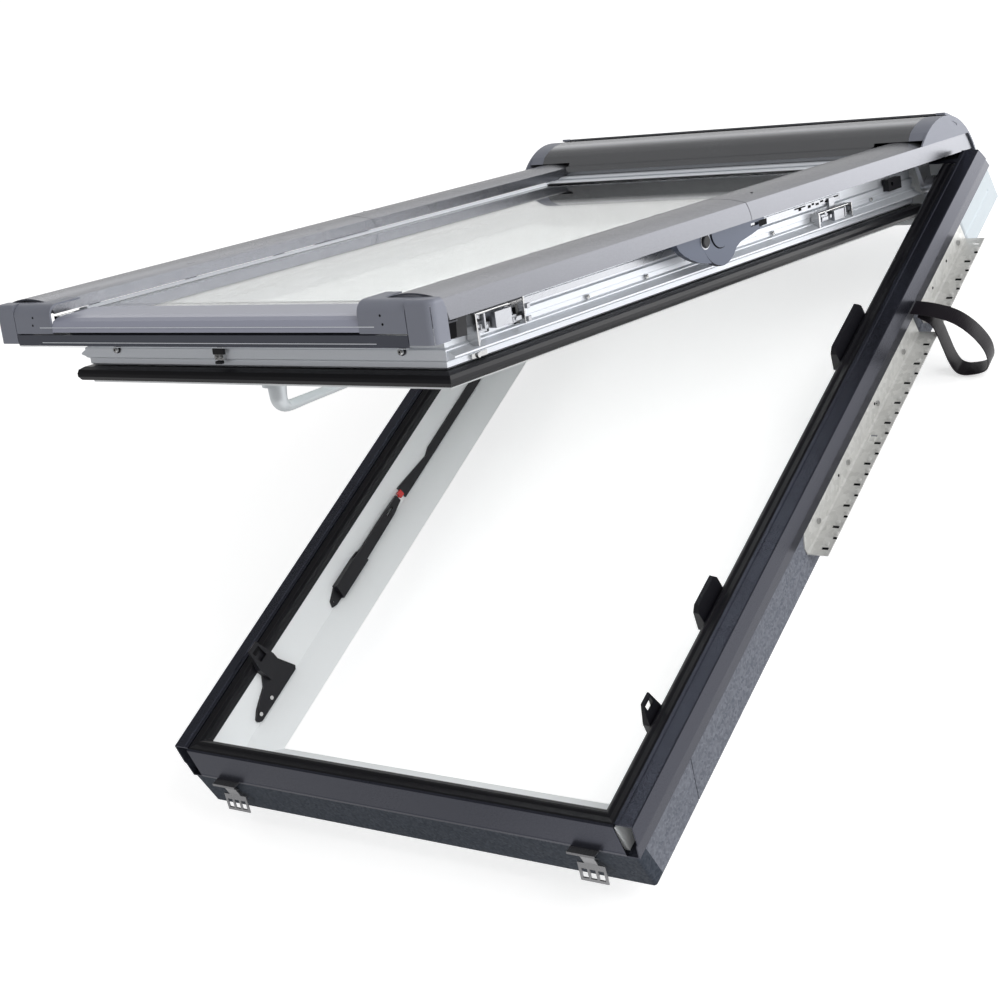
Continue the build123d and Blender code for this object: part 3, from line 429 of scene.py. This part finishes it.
# A round head along one axis: a circle for each (distance, radius) of its profile.
def roundForm(centre, axis, profile, sides):
    turn = np.linspace(0, 2 * math.pi, sides, endpoint=False)
    distance, radius = np.array(profile, float).T[:, :, None]
    a, b = radius * np.cos(turn), radius * np.sin(turn)
    level = np.broadcast_to(distance, a.shape)
    rings = {"x": (level, a, b), "y": (a, level, b), "z": (a, b, level)}[axis]
    return np.array(centre, float) + np.stack(rings, axis=-1).reshape(-1, 3)


# The same two forms for the right side (1) or mirrored across to the left one (-1).
def sideBlock(side, x, y, z, chamfer):
    return blockForm(sorted(side * edge for edge in x), y, z, chamfer)


def sideRound(side, centre, profile, sides):
    x, y, z = centre
    return roundForm((side * x, y, z), "x", np.multiply(profile, (side, 1)), sides)


# An arc as a row of short blocks: each spans its own step of the turn and a little of the next.
def arcForms(centre, radius, wide, first, last, ends, steps=18, overlap=0.01):
    turns = np.radians(np.linspace(first, last, steps + 1))
    t = np.stack([turns[:-1], turns[1:] + overlap], axis=1)[:, None, None, :]
    r = np.array([radius, radius + wide])[:, None]
    x = np.array(ends, float)[:, None, None]
    places = np.broadcast_arrays(x, centre[0] + r * np.cos(t), centre[1] + r * np.sin(t))
    return list(np.stack(places, axis=-1).reshape(steps, 8, 3))


# A section swept along a path: point = place + across * u + up * v.
def sweptPiece(name, places, across, up, section, material, body, stands=(), sharp=40):
    section = np.asarray(section, float)
    rings = (places[:, None, :] + across[:, None, :] * section[None, :, :1]
             + up[:, None, :] * section[None, :, 1:])
    piece = cappedPiece(name, rings)
    piece.data.set_sharp_from_angle(angle=math.radians(sharp))
    finishPiece(piece, material, body, stands)


# A bar: its profile of (along, out) carried straight across from -half to half.
def barPiece(name, look, material, body):
    profile = np.array(look["profile"], float)
    across = np.repeat((-look["half"], look["half"]), len(profile)).reshape(2, -1, 1)
    rings = np.concatenate([across, np.stack([profile, profile])], axis=-1)
    finishPiece(cappedPiece(name, openedPlace(rings), smooth=False), material, body)


# Each row divided by its own length.
def unitRows(rows):
    return rows / np.linalg.norm(rows, axis=1)[:, None]


# Catmull-Rom: a smooth run through the points, each stretch a cubic in t cut in equal steps.
def smoothRun(points, steps):
    p = np.asarray(points, float)
    p = np.vstack([2 * p[0] - p[1], p, 2 * p[-1] - p[-2]])
    before, start, end, after = (q[:, None, :] for q in (p[:-3], p[1:-2], p[2:-1], p[3:]))
    t = (np.arange(steps) / steps)[:, None]
    run = 0.5 * (2 * start + (end - before) * t
                 + (2 * before - 5 * start + 4 * end - after) * t ** 2
                 + (3 * start - before - 3 * end + after) * t ** 3)
    return np.vstack([run.reshape(-1, p.shape[1]), p[-2:-1]])


# A rectangle with round corners: a quarter circle about the middle of each corner's arc.
def roundedSection(wide, high, radius, steps=4):
    middles = np.array([(1, 1), (-1, 1), (-1, -1), (1, -1)]) * (wide / 2 - radius, high / 2 - radius)
    first = np.array([0, 90, 180, 270])
    turns = np.radians(np.linspace(first, first + 90, steps, axis=1))
    arcs = radius * np.stack([np.cos(turns), np.sin(turns)], axis=-1)
    return (middles[:, None, :] + arcs).reshape(-1, 2)


# A coil: round a circle by cosine and sine, and on along the slope by equal steps.
def coilRun(middle, length, radius, turns, steps=14):
    t = np.linspace(0, 1, int(turns * steps) + 1)
    turn = 2 * math.pi * turns * t
    return np.stack([middle[0] + radius * np.cos(turn), middle[1] + length * t,
                     middle[2] + radius * np.sin(turn)], axis=1)


# strap: a loop of webbing that leaves the side strip and comes back to it, its width up the slope

strapLook = dict(
    route=((366, 68.5), (395, 62.6), (421, 51), (439, 30), (449, 4), (449, -17), (443, -33),
           (431, -41), (414, -45), (403, -45), (395, -39), (391.6, -22), (391.4, 4), (391.4, 25),
           (389, 47), (374, 62)),
    middle=288.5, width=24.5, thick=1.8, corner=0.45, steps=7,
)


# The band's run lies in x and z, and up is that run turned by a quarter.
def makeStrap():
    look = strapLook
    flat = smoothRun(look["route"], look["steps"])
    along = unitRows(np.gradient(flat, axis=0))
    level = np.zeros(len(flat))
    places = np.stack([flat[:, 0], level + look["middle"], flat[:, 1]], axis=1) / 1000
    across = np.tile((0.0, 1.0, 0.0), (len(flat), 1))
    up = np.stack([-along[:, 1], level, along[:, 0]], axis=1)
    section = roundedSection(look["width"], look["thick"], look["thick"] * look["corner"]) / 1000
    sweptPiece("strapWebbing", places, across, up, section, paint["webbingBlack"], "frame",
               ["carrying_strap"])


# mounting angles: pressed dimples and tabs between the slots, a rounded inside fold, and black marks of
# painted shade over the slots and the small holes

angleLook = dict(
    face=358.8, sheet=1.5, reach=30.0, level=-79.5, runs=((455.0, 395.0), (868.0, 166.0)),
    pitch=18.0, first=1.05, endGap=5.0,
    insets=(9.0, 3.8), tabs=((17.0, 26.0), (25.0, 29.9)),   # at even steps, at odd steps
    dimple=3.6, rise=1.7, foot=-0.4, sink=0.2, bowl=(0, 25, 50, 75),
    tabAlong=(-6.7, -5.5), tabUp=(-0.3, 1.3), tabChamfer=0.25,
    slitAlong=(-9.8, -6.4), slitUp=(-1.2, 0.1), slitChamfer=0.05,
    fold=((-0.5, -0.5), (2.2, -0.5), (1.0, 0.25), (0.25, 1.0), (-0.5, 2.2)), foldGap=0.4, foldEnd=1.0,
    holes=(0.30, 0.62), holeLevel=-62.0, hole=((-0.1, 2.0), (0.12, 2.0)),   # shares of the length
    sides=14,
)


# A dimple is a quarter ellipse turned round: its height by sine, its radius by cosine.
def makeAngleDetails():
    look = angleLook
    dimples, folds, holes = [], [], []
    top = look["level"] + look["sheet"]
    turns = np.radians(look["bowl"])
    bowl = [(look["foot"], look["dimple"]),
            *zip(look["rise"] * np.sin(turns), look["dimple"] * np.cos(turns))]
    for start, length in look["runs"]:
        for side in (-1, 1):
            for step in range(int(length // look["pitch"])):
                y = start + look["pitch"] * (step + look["first"])
                if y > start + length - look["endGap"]:
                    continue
                x = side * (look["face"] + look["reach"] - look["insets"][step % 2])
                dimples.append(roundForm((x, y, top - look["sink"]), "z", bowl, look["sides"]))
                across = [look["face"] + edge for edge in look["tabs"][step % 2]]
                dimples.append(sideBlock(side, across, np.add(y, look["tabAlong"]),
                                         np.add(top, look["tabUp"]), look["tabChamfer"]))
                # The slot beside each tab is covered by a thin black block: painted shade.
                holes.append(sideBlock(side, across, np.add(y, look["slitAlong"]),
                                       np.add(top, look["slitUp"]), look["slitChamfer"]))
            outer = side * (look["face"] + look["sheet"])
            fold = side * (look["face"] + look["sheet"] + look["foldGap"])
            ends = (start + look["foldEnd"], start + length - look["foldEnd"])
            folds.append([(fold + side * a, y, top + b) for y in ends for a, b in look["fold"]])
            # Each small hole is a black disc: painted shade in the hole.
            for share in look["holes"]:
                place = (outer, start + length * share, look["holeLevel"])
                holes.append(roundForm(place, "x", look["hole"], look["sides"]))
    hullPiece("angleDimples", dimples, framePlace, paint["zincSheet"], "frame")
    hullPiece("angleFolds", folds, framePlace, paint["zincSheet"], "frame", sharp=80)
    hullPiece("angleHoleShade", holes, framePlace, paint["paintedShadeBlack"], "frame")


# lock gear: blocks and pins at both latches, a coil spring and a guard at the lower one, and black marks
# of painted shade in the rod's slots

lockLook = dict(
    face=281.4, chamfer=0.35, taper=0.5, pinSides=16,
    latches=(
        dict(   # lower latch: boxes as x0, x1 off the face, y0, y1, z0, z1; pins as x0, x1, y, z, radius
            boxes=((0.2, 13.5, 87.5, 90.5, -8, -4), (0.2, 13.5, 87.5, 90.5, 2, 6.5),
                   (0.2, 10.5, 91.0, 93.6, -24, -12), (0.2, 4.5, 97.5, 113.0, -16, -3),
                   (4.7, 7.0, 100.0, 116.5, -13, -6), (0.2, 9.5, 104.0, 107.0, -12, 5),
                   (0.2, 5.5, 150.0, 164.0, -17, -8), (5.7, 9.5, 152.0, 167.5, -15, -10),
                   (10.2, 13.8, 173.0, 179.0, -4.5, 1.0), (10.2, 13.8, 173.0, 179.0, -18.5, -13.0)),
            pins=((0.2, 6.0, 101.0, 1.5, 2.6), (4.0, 9.6, 108.0, -9.5, 2.2),
                  (5.0, 10.8, 157.0, -12.5, 2.0), (0.4, 4.5, 96.0, -20.5, 2.6))),
        dict(   # upper latch
            boxes=((0.2, 8.5, 806.0, 810.0, -25, -13), (0.2, 6.0, 816.0, 834.0, -23, -14),
                   (6.2, 9.5, 812.0, 828.0, -21, -17), (0.2, 9.0, 873.0, 876.0, -26, -12),
                   (0.2, 5.0, 878.0, 885.0, -20, -15)),
            pins=((4.0, 9.8, 822.0, -12.0, 2.4), (0.4, 8.5, 837.0, -18.5, 2.8),
                  (0.4, 7.0, 880.5, -23.0, 2.0)))),
    spring=dict(middle=(290.2, 147.5, 6.5), length=21.0, radius=3.1, turns=7, wire=0.55, sides=6),
    guard=((281.6, 50, -13), (281.6, 71, -13), (281.6, 50, 13), (281.6, 69, 13),
           (297, 50, -9), (295, 69, -11), (299, 50, 13), (298, 68, 13)),
    slots={(280.7, 281.05): ((762, 790, 1.6, 3.4), (772, 779, -1.4, 1.8), (796, 803, -1.6, 2.0),
                             (806, 812, 0.4, 3.2), (816, 824, -1.2, 1.6), (828, 836, 0.6, 3.0),
                             (840, 846, -1.6, 1.0), (862, 876, 1.4, 3.2)),
           (280.9, 281.5): ((92.5, 97, -15, 2), (114, 121, -18, -4), (136, 149, -15, 4),
                            (165, 172, -20, -2), (803, 806.5, -24, -12), (835, 848, -24, -11),
                            (862, 872, -24, -12))},
    slotChamfer=0.05,
)


# The spring's wire is a circle in the plane square to the coil's run, found by two cross products.
def makeLockGear():
    look, spring = lockLook, lockLook["spring"]
    turn = np.linspace(0, 2 * math.pi, spring["sides"], endpoint=False)
    wire = spring["wire"] / 1000 * np.stack([np.cos(turn), np.sin(turn)], axis=1)
    for side, word in ((1, "right"), (-1, "left")):
        forms = []
        for latch in look["latches"]:
            for x0, x1, y0, y1, z0, z1 in latch["boxes"]:
                forms.append(sideBlock(side, (look["face"] + x0, look["face"] + x1), (y0, y1), (z0, z1),
                                       look["chamfer"]))
            for x0, x1, y, z, radius in latch["pins"]:
                pin = ((x0, radius), (x1 - look["taper"], radius), (x1, radius - look["taper"]))
                forms.append(sideRound(side, (look["face"], y, z), pin, look["pinSides"]))
        hullPiece("lockGear_" + word, forms, openedPlace, paint["hingeSteel"], "lock_" + word)

        middle = np.multiply(spring["middle"], (side, 1, 1))
        run = openedPlace(coilRun(middle, spring["length"], spring["radius"], spring["turns"]))
        along = unitRows(np.gradient(run, axis=0))
        aside = unitRows(np.cross(along, (1.0, 0.0, 0.0)))
        sweptPiece("lockSpring_" + word, run, aside, np.cross(along, aside), wire,
                   paint["brightSteel"], "sash")

        guard = [np.multiply(look["guard"], (side, 1, 1))]
        hullPiece("lockGuard_" + word, guard, openedPlace, paint["plasticBlack"], "sash")
        # The slots are thin black blocks: painted shade in the recesses.
        slots = [sideBlock(side, depth, (y0, y1), (z0, z1), look["slotChamfer"])
                 for depth, rows in look["slots"].items() for y0, y1, z0, z1 in rows]
        hullPiece("rodSlotShade_" + word, slots, openedPlace, paint["paintedShadeBlack"], "sash")


# sash: screws with collars and with sockets painted black as shade, the catch in the middle of the
# front, thin lines on the covers

# A round form is its place, its profile of (distance, radius) and how many sides it has.
sashLook = dict(
    frontScrews=(-224, 224), frontLevel=-23.0,
    frontCollar=(46.6, ((0, 5.0), (-3.4, 4.8)), 20),
    frontHead=(43.2, ((0, 3.9), (-2.6, 3.7), (-3.4, 2.6)), 20),
    frontSocket=(39.8, ((0.3, 1.4), (-0.08, 1.4)), 6),
    cornerHead=((284.2, 96, -38), ((0, 3.2), (1.0, 2.8)), 18),
    sideScrews=(300, 418, 703, 960), sideLevel=-17.5,
    sideHead=(282.4, ((0, 3.0), (0.8, 2.8), (1.5, 1.7)), 18),
    sideSocket=(283.7, ((-0.2, 0.9), (0.3, 0.9)), 6),
    catchHeads=(-52.5, -45.5), catchHead=((38.9, -30), ((0, 2.0), (-1.1, 1.6)), 16),
    catchBlocks=(((-58, -40), (39.2, 43.0), (-27.5, -20.0)), ((-54, -44), (37.0, 43.0), (-38.0, -34.5))),
    catchChamfer=0.8,
    lines=((261, 18.8, 19.8), (261, 1.4, 2.2), (303, -3.4, -2.7)), lineFace=(-33.15, -32.8),
    lineChamfer=0.05,
)


def makeSashDetails():
    look = sashLook
    collars, heads, sockets = [], [], []
    for x in look["frontScrews"]:
        for forms, key in ((collars, "frontCollar"), (heads, "frontHead"), (sockets, "frontSocket")):
            y, *shape = look[key]
            forms.append(roundForm((x, y, look["frontLevel"]), "y", *shape))
    for side in (-1, 1):
        heads.append(sideRound(side, *look["cornerHead"]))
        for y in look["sideScrews"]:
            for forms, key in ((heads, "sideHead"), (sockets, "sideSocket")):
                x, *shape = look[key]
                forms.append(sideRound(side, (x, y, look["sideLevel"]), *shape))
    place, *shape = look["catchHead"]
    heads += [roundForm((x, *place), "y", *shape) for x in look["catchHeads"]]
    collars += [blockForm(*block, look["catchChamfer"]) for block in look["catchBlocks"]]
    lines = [blockForm((-half, half), look["lineFace"], (z0, z1), look["lineChamfer"])
             for half, z0, z1 in look["lines"]]
    hullPiece("frontLines", lines, openedPlace, paint["sashSilver"], "sash")
    hullPiece("screwCollars", collars, openedPlace, paint["plasticBlack"], "sash")
    hullPiece("screwHeads", heads, openedPlace, paint["brightSteel"], "sash")
    # The sockets in the screw heads are black discs: painted shade in the recess.
    hullPiece("screwSocketShade", sockets, openedPlace, paint["paintedShadeBlack"], "sash")


# head of the glass: silver bar in front of the hood, with a blue-grey line and a black seal

headBar = dict(
    half=261.0,
    profile=((955, 27.3), (955.6, 29.4), (958, 30.2), (972, 30.6), (974, 29.2), (987, 29.2),
             (989, 31.4), (993, 32.4), (1046, 32.8), (1046, 27.3)),
    line=((974.6, 986.4), (28.6, 29.9), 0.3), seal=((948.5, 954.8), (27.1, 28.8), 0.5),   # with chamfer
)


def makeHeadBar():
    look = headBar
    across = (-look["half"], look["half"])
    barPiece("headBar", look, paint["sashSilver"], "sash")
    hullPiece("headLine", [blockForm(across, *look["line"])], openedPlace, paint["silverLine"],
              "sash")
    hullPiece("headSeal", [blockForm(across, *look["seal"])], openedPlace, paint["rubberBlack"],
              "sash")


# lip under the hood's foot, down to the head bar

hoodLip = dict(
    half=261.5,
    profile=((1017, 46.6), (1010.5, 45.5), (1006, 38), (1006.6, 33.4), (1010, 33.2), (1014, 40),
             (1021, 44.5)),
)


def makeHoodLip():
    barPiece("hoodLip", hoodLip, paint["hoodPaint"], "carrier")


# drain holes in the covers and caps, as black discs of painted shade

drainLook = dict(
    cover=((291, 606), (317, 607)), crown=50.0, fall=6.2, middle=299.5, half=37.5, sink=0.3,
    coverHole=((-0.3, 1.7), (0.42, 1.7)),
    cap=((271, 31), (273, 22)), capFace=-33.0, capHole=((0.3, 1.4), (-0.1, 1.4)), sides=14,
)


# A hole in a cover lies on its top, which falls from the crown by the square of the way to its edge.
def makeDrainHoles():
    look = drainLook
    holes = []
    for x, y in look["cover"]:
        z = look["crown"] - look["fall"] * ((x - look["middle"]) / look["half"]) ** 2
        holes += [roundForm((side * x, y, z - look["sink"]), "z", look["coverHole"], look["sides"])
                  for side in (-1, 1)]
    # Black discs in covers and caps: painted shade in the holes.
    hullPiece("coverHoleShade", holes, openedPlace, paint["paintedShadeBlack"], "carrier")
    drains = [roundForm((side * x, look["capFace"], z), "y", look["capHole"], look["sides"])
              for side in (-1, 1) for x, z in look["cap"]]
    hullPiece("capHoleShade", drains, openedPlace, paint["paintedShadeBlack"], "sash")


# pivots: seams about the axis on the housing painted black as shade in the gaps, and a bolt with a
# bright rim on the sash

pivotLook = dict(
    axis=(528, 16), seamFace=(316.9, 317.25),
    seams=((40.9, 1.1, 184, 262), (20.1, 1.2, 176, 290)),   # radius, width, first and last degree
    slit=((616.5, 634.5), (5.2, 12.6), 0.1),   # with chamfer
    bolt=(492, 9.5), boltFace=318.6, boltHead=((0, 8.2), (2.0, 8.0), (3.2, 6.4)), boltSides=24,
    rimFace=(318.8, 319.4), rim=(8.4, 1.5, 0, 360), rimSteps=28,
)


def makePivotDetails():
    look = pivotLook
    for side, word in ((1, "right"), (-1, "left")):
        seamEnds, rimEnds = (sorted(side * x for x in look[key]) for key in ("seamFace", "rimFace"))
        seams = [form for seam in look["seams"] for form in arcForms(look["axis"], *seam, seamEnds)]
        seams.append(blockForm(seamEnds, *look["slit"]))
        # The seams and the slit are black strips: painted shade in the gaps between parts.
        hullPiece("pivotSeamShade_" + word, seams, openedPlace, paint["paintedShadeBlack"], "carrier")
        bolt = [sideRound(side, (look["boltFace"], *look["bolt"]), look["boltHead"], look["boltSides"])]
        hullPiece("pivotBolt_" + word, bolt, openedPlace, paint["plasticBlack"], "sash")
        rim = arcForms(look["bolt"], *look["rim"], rimEnds, look["rimSteps"])
        hullPiece("pivotRim_" + word, rim, openedPlace, paint["hingeSteel"], "sash")


# handle: an oval grip that rises from a wide neck, bends and runs up the slope

handleLook = dict(
    route=((75, -66.5), (74.6, -78), (75.2, -88), (80, -94.6), (90, -97.0), (120, -96.0), (165, -94.6),
           (198, -93.6), (203, -93.5)),
    wide=(24, 23, 22, 21, 20, 18.5, 17.5, 16, 9), thick=(21, 19, 17, 14.5, 12.5, 11.5, 11, 10, 6),
    steps=6, sides=24,
)


# Each ring is an ellipse square to the route: half the width by cosine, half the thickness by sine.
def makeHandle():
    look = handleLook
    route = smoothRun(np.column_stack([look["route"], look["wide"], look["thick"]]), look["steps"])
    y, z, wide, thick = route.T[:, :, None]
    alongY, alongZ = unitRows(np.gradient(route[:, :2], axis=0)).T[:, :, None]
    turn = np.linspace(0, 2 * math.pi, look["sides"], endpoint=False)
    u, v = wide / 2 * np.cos(turn), thick / 2 * np.sin(turn)
    rings = np.stack([u, y - alongZ * v, z + alongY * v], axis=-1)
    piece = cappedPiece("handleGrip", openedPlace(rings))
    finishPiece(piece, paint["handleSilver"], "handle", ["handle"])


makeStrap()
makeAngleDetails()
makeLockGear()
makeSashDetails()
makeHeadBar()
makeHoodLip()
makeDrainHoles()
makePivotDetails()
makeHandle()
print("small pieces made")


# floor: white to the camera, brighter through the glass and in parts of what the metal mirrors

floorLook = dict(
    drop=0.004, half=14.0, white=0.80, mirroredWhite=0.04, rough=0.9, glow=0.50, glassGlow=1.4,
    mirrorFront=0.6, mirrorNear=1.05, mirrorFar=2.7,
    farAlong=(0.35, 0.80), farAcross=(0.0, 0.35),   # where the mirrored white grows, in metres
)


def makeFloor():
    look = floorLook
    low, half = cadBox[0].z - look["drop"], look["half"]
    corners = [(-half, -half, low), (half, -half, low), (half, half, low), (-half, half, low)]
    floor = makePiece("floor", corners, [(0, 1, 2, 3)], smooth=False)
    material, tree, shader = newMaterial("floorWhite")
    ray = addNode(tree, "ShaderNodeLightPath").outputs
    place = addNode(tree, "ShaderNodeTexCoord").outputs["Object"]
    split = addNode(tree, "ShaderNodeSeparateXYZ", {"Vector": place})
    along = rangeOut(tree, split.outputs["Y"], look["farAlong"], (0.0, 1.0))
    across = rangeOut(tree, split.outputs["X"], look["farAcross"], (0.0, 1.0))
    near = rangeOut(tree, across, (0.0, 1.0), (look["mirrorFront"], look["mirrorNear"]))
    far = mathOut(tree, "MULTIPLY", mathOut(tree, "MULTIPLY", along, across),
                  look["mirrorFar"] - look["mirrorNear"])
    notThrough = mathOut(tree, "SUBTRACT", 1.0, ray["Is Transmission Ray"])
    mirrored = mathOut(tree, "MULTIPLY", ray["Is Glossy Ray"], notThrough)
    white = colorMixOut(tree, mirrored, (look["white"],) * 3 + (1,), (look["mirroredWhite"],) * 3 + (1,))
    glows = (mathOut(tree, "MULTIPLY", ray["Is Camera Ray"], look["glow"]),
             mathOut(tree, "MULTIPLY", ray["Is Transmission Ray"], look["glassGlow"]),
             mathOut(tree, "MULTIPLY", mirrored, mathOut(tree, "ADD", near, far)))
    glow = mathOut(tree, "MAXIMUM", mathOut(tree, "MAXIMUM", glows[0], glows[1]), glows[2])
    setInputs(tree, shader, {
        "Roughness": look["rough"], "Specular IOR Level": 0.0, "Base Color": white,
        "Emission Color": (1, 1, 1, 1), "Emission Strength": glow})
    floor.data.materials.append(material)


# world: white to the camera, and an even soft light

# Mirrored, it is dark above and in front, with a white band about the horizon behind.
worldLook = dict(
    up=0.20, horizon=1.9, band=(-0.05, 0.30), behind=(-0.3, 0.4), front=0.15, soft=0.62,
)


def makeWorld():
    look = worldLook
    world = bpy.data.worlds.new("studio")
    bpy.context.scene.world = world
    world.use_nodes = True
    tree = world.node_tree
    ray = addNode(tree, "ShaderNodeLightPath").outputs
    place = addNode(tree, "ShaderNodeTexCoord").outputs["Generated"]
    split = addNode(tree, "ShaderNodeSeparateXYZ", {"Vector": place})
    height = rangeOut(tree, split.outputs["Z"], look["band"], (1.0, 0.0))
    behind = rangeOut(tree, split.outputs["Y"], look["behind"], (look["front"], 1.0))
    room = rangeOut(tree, mathOut(tree, "MULTIPLY", height, behind), (0.0, 1.0),
                    (look["up"], look["horizon"]))
    mirrored = addNode(tree, "ShaderNodeMix", {"Factor": ray["Is Glossy Ray"], "A": look["soft"],
                                               "B": room}, data_type="FLOAT")
    seen = mathOut(tree, "MAXIMUM", ray["Is Camera Ray"], ray["Is Transmission Ray"])
    setInputs(tree, tree.nodes["Background"], {
        "Color": (1, 1, 1, 1),
        "Strength": mathOut(tree, "MAXIMUM", seen, mirrored.outputs["Result"])})


# lamps: two soft squares that the metal doesn't mirror

lamps = {
    "keyLamp": dict(place=(3.4, 0.2, 2.6), aim=(0, 0, 0.3), size=2.6, power=105.0),
    "fillLamp": dict(place=(-2.4, -3.2, 2.2), aim=(0, 0, 0.3), size=2.0, power=16.0),
}


def makeLamps():
    for name, lamp in lamps.items():
        data = bpy.data.lights.new(name, "AREA")
        data.energy = lamp["power"]
        data.size = lamp["size"]
        light = addObject(name, data)
        light.location = lamp["place"]
        light.visible_glossy = False
        toward = Vector(lamp["aim"]) - Vector(lamp["place"])
        light.rotation_euler = toward.to_track_quat("-Z", "Y").to_euler()


# camera: it stands and looks as the photograph's did

cameraLook = dict(
    place=(1.6909, -1.5439, 1.8035), turn=(48.287, 25.8824, 29.9145),   # degrees
    lens=75.87, sensor=36.0, near=0.05, far=60.0,
)


def makeCamera():
    look = cameraLook
    data = bpy.data.cameras.new("camera")
    data.lens, data.sensor_width = look["lens"], look["sensor"]
    data.clip_start, data.clip_end = look["near"], look["far"]
    camera = addObject("camera", data)
    turn = Euler(np.radians(look["turn"]))
    camera.matrix_world = Matrix.LocRotScale(Vector(look["place"]), turn, None)
    bpy.context.scene.camera = camera


makeFloor()
makeWorld()
makeLamps()
makeCamera()
bpy.context.scene.view_settings.view_transform = "Standard"
print("stage ready")
